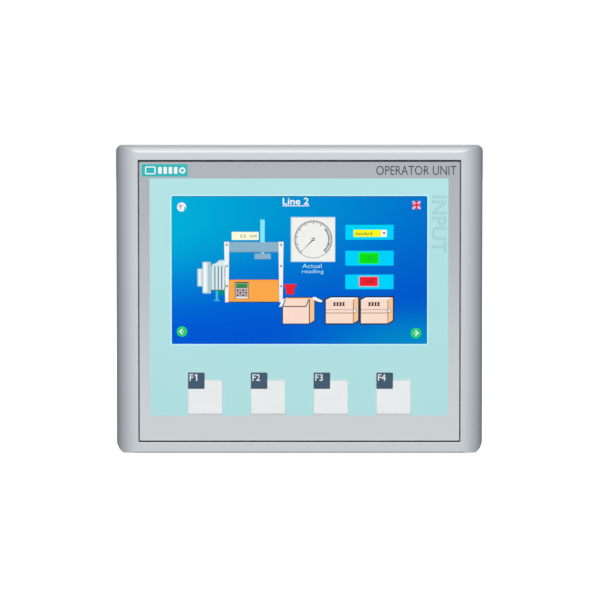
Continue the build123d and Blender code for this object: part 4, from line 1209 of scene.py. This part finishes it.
    def _motor(self) -> None:
        """Draw the finned motor on its stand."""
        layer = self._sheet("display_motor")
        layer.bars(Ink.STAND, 2, (-31.85, -11.4, -30.95, -7.7), (-32.6, -11.85, -30.2, -11.4))
        layer.bars(Ink.BOX_TEAL, 2, (-30.8, -9.5, -28.3, -7.7))
        hood = [(-33.2, 1.5), (-28.5, 1.5), (-28.5, 3.9), (-30.4, 3.9), (-32.0, 2.6), (-33.2, 2.4)]
        layer.draw(Ink.MOTOR_SHADE, polygon(hood), 3)
        shell = [(u + 0.1, v - 0.35) for u, v in hood[2:]] + [(-33.1, 1.6), (-28.4, 1.6)]
        layer.draw(Ink.MOTOR, polygon(shell), 4)
        layer.bars(Ink.MOTOR_SHADE, 3, (-33.7, -7.75, -28.45, 1.6))
        for index in range(4):
            start = -33.2 + index * 1.3
            layer.bars(Ink.MOTOR, 4, (start, -7.4, start + 0.85, 1.4))
            layer.bars(Ink.FIN, 4, (start + 0.85, -7.4, start + 1.2, 1.4))
        layer.bars(Ink.FIN, 5, (-33.7, -7.85, -28.45, -7.55))
        layer.draw(Ink.MOTOR_SHADE, polygon(rounded(-36.9, -9.0, -33.6, 3.2, 0.5)), 4)
        layer.draw(Ink.MOTOR, polygon(rounded(-36.7, -8.6, -34.9, 3.0, 0.4)), 5)
        layer.bars(Ink.WHITE, 6, (-36.3, -8.2, -35.6, 2.6))
        layer.draw(Ink.MOTOR_SHADE, polygon(rounded(-38.9, -6.3, -36.8, 0.6, 0.4)), 3)
        layer.bars(Ink.MOTOR, 5, (-38.5, -5.9, -37.1, 0.3))
        layer.bars(Ink.WHITE, 6, (-38.2, -5.6, -37.7, 0.0))
        for index in range(4):
            layer.bars(Ink.MOTOR_SHADE, 7, (-38.8, -5.0 + index * 1.4, -36.95, -4.85 + index * 1.4))
        self._done(layer)

    def _gauge(self) -> None:
        """Draw the round gauge with its ticks and its needle."""
        layer = self._sheet("display_gauge")
        cu, cv = self.dial_centre
        radius = self.dial_radius
        layer.bars(Ink.DIAL_EDGE, 2, (-3.2, 3.1, 13.8, 20.3))
        layer.bars(Ink.DIAL, 3, (-2.75, 3.45, 13.75, 19.95))
        layer.draw(Ink.LINE, ribbon(circle(cu, cv, radius, 72), 0.16, True), 4)
        for index in range(51):
            long = index % 5 == 0
            inner, width = (radius - 1.2, 0.26) if long else (radius - 0.7, 0.2)
            self._tick(layer, 225 - index * 5.4, inner, radius + 0.3, width)
        for index in range(18):
            self._tick(layer, 40 - index * 5, radius - 1.4, radius - 0.8, 0.34)
        layer.draw(Ink.BLACK, polygon([(0.75, 7.0), (5.62, 11.58), (5.34, 11.9)]), 7)
        layer.draw(Ink.LINE, disc(cu, cv + 0.1, 0.62), 6)
        layer.draw(Ink.DIAL, disc(cu, cv + 0.1, 0.34), 8)
        self._done(layer)

    def _tick(self, layer: Drawing, angle: float, inner: float, outer: float, width: float) -> None:
        """Draw one tick of the gauge.

        Args:
            layer: the layer that it belongs to.
            angle: its direction, in degrees.
            inner: where it starts, from the middle.
            outer: where it ends.
            width: its width.
        """
        turn = math.radians(angle)
        cu, cv = self.dial_centre
        ends = [(cu + reach * math.cos(turn), cv + reach * math.sin(turn)) for reach in (inner, outer)]
        layer.draw(Ink.LINE, ribbon(ends, width), 5)

    def _fields(self) -> None:
        """Draw the three cyan fields with their controls."""
        layer = self._sheet("display_fields")
        left, right = self.field_sides
        for bottom, top in self.field_rows:
            layer.bars(Ink.CYAN, 2, (left, bottom, right, top))
        layer.bars(Ink.YELLOW, 3, (20.8, 12.7, 31.3, 15.4))
        layer.bars(Ink.WHITE, 3, (31.3, 12.7, 33.5, 15.4))
        layer.draw(Ink.RED_DARK, polygon([(31.9, 14.5), (32.5, 13.5), (33.0, 14.5)]), 4)
        layer.draw(Ink.TEXT_BROWN, lettering("standard", (21.4, 13.3, 27.9, 14.7), 0.008), 4)
        layer.bars(Ink.GREEN_RIM, 3, (22.8, 2.4, 30.5, 6.8))
        layer.bars(Ink.GREEN, 4, (23.3, 2.7, 30.2, 6.4))
        layer.draw(Ink.PAD_GREEN, lettering("on", (26.2, 4.0, 28.4, 5.2)), 5)
        layer.bars(Ink.PINK_GREY, 3, (22.8, -6.4, 30.4, -2.3))
        layer.bars(Ink.RED, 4, (23.2, -6.05, 30.0, -2.65))
        layer.draw(Ink.RED_DARK, lettering("off", (25.6, -5.0, 28.4, -3.6)), 5)
        self._done(layer)

    def _cartons(self) -> None:
        """Draw the open carton and the two closed ones."""
        layer = self._sheet("display_cartons")
        front = [(-6.3, -20.6), (3.95, -20.6), (3.95, -11.0), (-6.3, -11.0)]
        side = [(3.95, -20.6), (6.0, -19.3), (6.0, -10.9), (3.95, -11.2)]
        layer.draw(Ink.PEACH, polygon(front), 2)
        layer.draw(Ink.TAN, polygon(side), 2)
        inside = [(-6.0, -11.2), (-4.4, -10.35), (5.2, -10.35), (6.0, -10.9), (3.9, -11.2)]
        layer.draw(Ink.TAN, polygon(inside), 3)
        left_flap = [(-4.5, -10.6), (-6.3, -11.3), (-7.7, -14.0), (-6.3, -14.0), (-5.2, -11.2)]
        layer.draw(Ink.FRAME_WHITE, polygon(left_flap), 4)
        layer.draw(Ink.PEACH, polygon([(-5.2, -11.1), (3.8, -11.1), (2.6, -13.9), (-6.2, -13.9)]), 4)
        flap = [(4.9, -10.35), (6.6, -10.3), (9.4, -11.7), (8.4, -12.6), (5.7, -11.7)]
        layer.draw(Ink.FRAME_WHITE, polygon(flap), 5)
        paths = (
            [(-6.3, -14.0), (-6.3, -20.6), (3.95, -20.6), (6.0, -19.3), (6.0, -11.6)],
            [(3.95, -20.6), (3.95, -11.3)],
            [(-5.2, -11.1), (-6.3, -13.9), (2.6, -13.9), (3.8, -11.1)],
            [(-4.5, -10.4), (5.2, -10.4)],
            [(6.6, -10.3), (9.4, -11.7), (8.4, -12.6), (5.7, -11.7)],
        )
        for path in paths:
            layer.draw(Ink.LINE, ribbon(path, self.outline), 6)
        for left, right, reach in self.closed_cartons:
            self._closed_carton(layer, left, right, reach)
        self._done(layer)

    def _closed_carton(self, layer: Drawing, left: float, right: float, reach: float) -> None:
        """Draw one closed carton with its tape.

        Args:
            layer: the layer that it belongs to.
            left: the left edge of its front.
            right: the right edge of its front.
            reach: the right edge of its side.
        """
        layer.bars(Ink.PEACH, 2, (left, -20.6, right, -11.2))
        side = [(right, -20.6), (reach, -19.3), (reach, -10.3), (right, -11.2)]
        layer.draw(Ink.TAN, polygon(side), 2)
        top = [(left, -11.2), (right, -11.2), (reach, -10.2), (left + 2.2, -10.2)]
        layer.draw(Ink.FRAME_WHITE, polygon(top), 3)
        layer.bars(Ink.FRAME_WHITE, 3, (right, -16.2, right + 1.0, -14.8))
        layer.draw(Ink.LINE, ribbon(corners(right + 0.05, -16.2, right + 1.0, -14.8), 0.14, True), 4)
        layer.draw(Ink.LINE, ribbon([(left, -16.4), (right, -16.4)], 0.2), 4)
        for index in range(14):
            start = left + 0.2 + index * 0.76
            layer.bars(Ink.LINE, 4, (start, -15.25, start + 0.5, -15.05))
        for index in range(4):
            start = left + 3.0 + index * 1.15
            for low_shift, high_shift in ((0.0, 0.55), (0.55, 0.0)):
                feet = (start + low_shift, start + high_shift)
                bar = [(feet[0], -13.7), (feet[0] + 0.5, -13.7), (feet[1] + 0.5, -12.3), (feet[1], -12.3)]
                layer.draw(Ink.BLACK, polygon(bar), 4 + (low_shift > 0))
        rim = [(left, -11.2), (left + 2.2, -10.2), (reach, -10.2)]
        rim += [(reach, -19.3), (right, -20.6), (left, -20.6)]
        layer.draw(Ink.LINE, ribbon(rim, self.carton_outline, True), 6)
        layer.draw(Ink.LINE, ribbon([(right, -20.6), (right, -11.3)], 0.22), 6)

    def _corner_signs(self) -> None:
        """Draw the round signs and the language tile in the four corners."""
        layer = self._sheet("display_corner_signs")
        layer.draw(Ink.FRAME_WHITE, disc(-44.8, 24.1, 1.76), 2)
        layer.draw(Ink.PINK_GREY, polygon([(-44.8, 24.1), *arc(-44.8, 24.1, 1.2, 100, 190, 8)]), 3)
        layer.draw(Ink.PAD, ribbon([(-45.4, 22.9), (-45.1, 24.0), (-44.2, 24.9)], 0.3), 4)
        shade = [(-43.9, 22.5), (-43.3, 22.8), (-43.2, 24.0), (-43.8, 24.2)]
        layer.draw(Ink.CYAN_SHADE, polygon(shade), 3)
        self._language_tile(layer)
        radius = self.arrow_radius
        for u, v, way in self.arrows:
            layer.draw(Ink.GREEN_RIM, disc(u, v, radius), 2)
            layer.draw(Ink.ARROW_GREEN, disc(u, v - 0.05, radius - 0.3), 3)
            head = [(u - way * 0.25, v + 1.0), (u + way * 0.85, v), (u - way * 0.25, v - 1.0)]
            layer.draw(Ink.WHITE, ribbon(head, 0.4), 4)
            layer.bars(Ink.WHITE, 5, (u - 0.9, v - 0.16, u + 0.7, v + 0.16))
            layer.draw(Ink.BLACK, disc(u, v, 0.22), 6)
        self._done(layer)

    def _language_tile(self, layer: Drawing) -> None:
        """Draw the tile that chooses the language: a plain burst of crossed bars.

        Args:
            layer: the layer that it belongs to.
        """
        cu, cv, half = 44.8, 24.8, 1.6
        square = half * 0.85
        layer.bars(Ink.FLAG_BLUE, 2, (cu - square, cv - square, cu + square, cv + square))
        for index, angle in enumerate((45, 135)):
            reach = half * 1.3
            start, end = arc(cu, cv, reach, angle, angle + 180, 1)
            layer.draw(Ink.WHITE, ribbon([start, end], 0.7), 3 + index)
            layer.draw(Ink.RED, ribbon([start, end], 0.28), 5 + index)
        layer.bars(Ink.RED, 7, (cu - half, cv - 0.28, cu + half, cv + 0.28))
        layer.bars(Ink.RED, 8, (cu - 0.28, cv - half, cu + 0.28, cv + half))


@dataclass
class RearMarks:
    """The plain signs printed on the rating plate and beside the connectors. Sizes are in millimetres."""

    frame_margin: float = 1.4
    rows: int = 5
    line: float = 0.22
    sign_level: float = -4.0

    def build(self, ink: Inks) -> None:
        """Lay the marks on the rear.

        Args:
            ink: the print materials.
        """
        self._plate(ink)
        self._connectors(ink)
        self._lamps(ink)

    def _plate(self, ink: Inks) -> None:
        """Rule the blank rating plate and add the direct current and earth signs."""
        low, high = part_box("rating_plate")
        middle = (low + high) / 2
        width = (high.x - low.x) / MM / 2 - self.frame_margin
        height = (high.z - low.z) / MM / 2 - self.frame_margin
        plate = Relief("rating_plate_print", Vector((middle.x, high.y, middle.z)), -RIGHT, UP)
        plate.lay(ink["black"], ribbon(rounded(-width, -height, width, height, 1.2), self.line, True))
        pitch = 2 * height / self.rows
        split = -width * 0.25
        for index in range(1, self.rows):
            level = -height + index * pitch
            plate.lay(ink["black"], rect(split, level - self.line / 2, width - 1.0, level + self.line / 2))
        plate.lay(ink["black"], rect(split - self.line, -height + 1.0, split, height - 1.0))
        centre = (split - width) / 2
        self._direct_current(plate, ink["black"], centre, height * 0.45)
        self._earth(plate, ink["black"], centre, -height * 0.4, 1.6)
        plate.finish("panel", "plate_silver")

    def _direct_current(self, relief: Relief, ink: Material, u: float, v: float) -> None:
        """Lay the sign for direct current: one line over three dashes."""
        relief.lay(ink, rect(u - 2.6, v + 0.4, u + 2.6, v + 0.8))
        for index in (-1, 0, 1):
            relief.lay(ink, rect(u + index * 1.95 - 0.65, v - 0.6, u + index * 1.95 + 0.65, v - 0.2))

    def _earth(self, relief: Relief, ink: Material, u: float, v: float, size: float) -> None:
        """Lay the earth sign: a stem over three shrinking bars."""
        relief.lay(ink, rect(u - 0.16 * size, v, u + 0.16 * size, v + size * 1.2))
        for index, reach in enumerate((1.0, 0.66, 0.32)):
            level = v - index * 0.5 * size
            half = reach * size
            relief.lay(ink, rect(u - half, level - 0.3 * size, u + half, level - 0.02 * size))

    def _connectors(self, ink: Inks) -> None:
        """Lay the niche's signs: poles by the power plug, earth by the blade, a network by the jack."""
        jack_low, jack_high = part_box("rj45_shell")
        blade_low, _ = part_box("earth_blade")
        plug_low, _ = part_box("power_plug")
        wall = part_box("main_board")[0].y
        marks = Relief("connector_marks", Vector((0.0, wall, jack_low.z)), -RIGHT, UP)
        level = self.sign_level
        self._earth(marks, ink["pale"], -(blade_low.x / MM - 3.2), level, 1.1)
        u = -(plug_low.x / MM - 3.4)
        marks.lay(ink["pale"], rect(u - 0.9, level + 0.9, u + 0.9, level + 1.25))
        self._plus(marks, ink["pale"], u, level - 2.0)
        u = -(jack_high.x / MM + 4.0)
        marks.lay(ink["pale"], rect(u - 1.9, level - 0.12, u + 1.9, level + 0.12))
        for shift, way in ((-1.5, -1), (0.0, 1), (1.5, -1)):
            node_u, node_v = u + shift, level + way * 1.2
            marks.lay(ink["pale"], rect(node_u - 0.5, node_v - 0.45, node_u + 0.5, node_v + 0.45))
        marks.finish("panel", "plate_silver")

    def _plus(self, relief: Relief, ink: Material, u: float, v: float) -> None:
        """Lay a plus sign."""
        arm, half = 0.9, 0.2
        quarter = [(arm, -half), (arm, half), (half, half)]
        outline = []
        for turn in range(4):
            cos, sin = ((1, 0), (0, 1), (-1, 0), (0, -1))[turn]
            outline += [(u + a * cos - b * sin, v + a * sin + b * cos) for a, b in quarter]
        relief.lay(ink, polygon(outline))

    def _lamps(self, ink: Inks) -> None:
        """Set the two lamp windows in the face of the network jack."""
        low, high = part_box("rj45_insert")
        face = Relief("jack_lamps", Vector(((low.x + high.x) / 2, high.y, low.z)), RIGHT, -BACK, 0.05)
        for side, colour in ((-1, "lamp_green"), (1, "lamp_amber")):
            middle = side * 5.9
            face.lay(ink[colour], polygon(rounded(middle - 1.3, 0.7, middle + 1.3, 2.6, 0.3)))
        face.finish("panel", "jack_black")


# ---------------------------------------------------------------- studio


@dataclass
class Studio:
    """The floor, the light and the camera. Lengths are in metres, angles in degrees."""

    distance: float = 2.6
    elevation: float = 6.5
    aim: tuple[float, float] = (0.00022, 0.0003)
    view_width: float = 0.22906
    sensor: float = 36.0
    light_distance: float = 2.0
    light_size: float = 1.3
    key_power: float = 45.5
    key_elevation: float = 34.0
    rear_power: float = 24.0
    rear_elevation: float = 14.0
    ambient: float = 0.13
    floor_size: float = 2.2

    def build(self) -> None:
        """Set up everything round the object."""
        bpy.context.scene.view_settings.view_transform = "Standard"
        self._world()
        self._floor()
        self._softbox("front_softbox", -90.0, self.key_elevation, self.key_power)
        rear = self._softbox("rear_softbox", 90.0, self.rear_elevation, self.rear_power)
        rear.visible_glossy = False
        self._camera()

    def _world(self) -> None:
        """Show white all round, and light the object only faintly with it."""
        world = bpy.data.worlds.new("studio")
        world.use_nodes = True
        bpy.context.scene.world = world
        tree = world.node_tree
        tree.nodes.clear()
        seen = tree.nodes.new("ShaderNodeBackground")
        seen.inputs["Color"].default_value = (1.0, 1.0, 1.0, 1.0)
        fill = tree.nodes.new("ShaderNodeBackground")
        fill.inputs["Color"].default_value = (self.ambient, self.ambient, self.ambient, 1.0)
        path = tree.nodes.new("ShaderNodeLightPath")
        mixed = tree.nodes.new("ShaderNodeMixShader")
        output = tree.nodes.new("ShaderNodeOutputWorld")
        tree.links.new(path.outputs["Is Camera Ray"], mixed.inputs[0])
        tree.links.new(fill.outputs[0], mixed.inputs[1])
        tree.links.new(seen.outputs[0], mixed.inputs[2])
        tree.links.new(mixed.outputs[0], output.inputs["Surface"])

    def _floor(self) -> None:
        """Lay the white floor that the panel's lower edge stands on."""
        low, _ = CAD_BOUNDS
        half = self.floor_size / 2
        mesh = bpy.data.meshes.new("floor")
        mesh.from_pydata([(u, v, low[2]) for u, v in corners(-half, -half, half, half)], [], [(0, 1, 2, 3)])
        graph = Graph("floor_white")
        speckle = graph.noise(60.0, 2.0)
        shader = graph.make("ShaderNodeBsdfPrincipled", {}, {
            "Base Color": graph.blend(speckle, (0.8, 0.8, 0.8), (0.84, 0.84, 0.84)),
            "Roughness": 0.9,
            "Specular IOR Level": 0.0,
            "Emission Color": (1.0, 1.0, 1.0, 1.0),
            "Emission Strength": 0.85,
        })
        mesh.materials.append(graph.close(shader))
        floor = bpy.data.objects.new("floor", mesh)
        floor.visible_diffuse = False
        floor.visible_glossy = False
        bpy.context.scene.collection.objects.link(floor)

    def _softbox(self, name: str, heading: float, height: float, power: float) -> bpy.types.Object:
        """Hang one square softbox that faces the object.

        Args:
            name: the light's name.
            heading: its direction from the object, from +X towards +Y.
            height: its elevation.
            power: its power, in watts.

        Returns:
            The light.
        """
        light = bpy.data.lights.new(name, "AREA")
        light.energy = power
        light.size = self.light_size
        lamp = bpy.data.objects.new(name, light)
        turn, rise = math.radians(heading), math.radians(height)
        way = Vector((math.cos(turn) * math.cos(rise), math.sin(turn) * math.cos(rise), math.sin(rise)))
        lamp.location = way * self.light_distance
        lamp.rotation_euler = way.to_track_quat("Z", "Y").to_euler()
        bpy.context.scene.collection.objects.link(lamp)
        return lamp

    def _camera(self) -> None:
        """Set the camera a little above the middle of the panel's front."""
        front = Vector((self.aim[0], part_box("front_bezel")[0].y, self.aim[1]))
        rise = math.radians(self.elevation)
        way = Vector((0.0, -math.cos(rise), math.sin(rise)))
        data = bpy.data.cameras.new("camera")
        data.sensor_width = self.sensor
        data.lens = self.sensor * self.distance / self.view_width
        data.clip_end = 100.0
        camera = bpy.data.objects.new("camera", data)
        camera.location = front + way * self.distance
        camera.rotation_euler = way.to_track_quat("Z", "Y").to_euler()
        bpy.context.scene.collection.objects.link(camera)
        bpy.context.scene.camera = camera


def main() -> None:
    """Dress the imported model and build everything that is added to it."""
    logging.basicConfig(level=logging.INFO, format="%(name)s: %(message)s")
    CadParts().dress()
    ink = {name: finish.make() for name, finish in PRINTS.items()}
    FoilPrint().build(ink)
    PaintedGapShade().build(ink)
    KeyPrint().build(ink)
    DisplayPicture().build()
    RearMarks().build(ink)
    Studio().build()


if __name__ == "__main__":
    main()
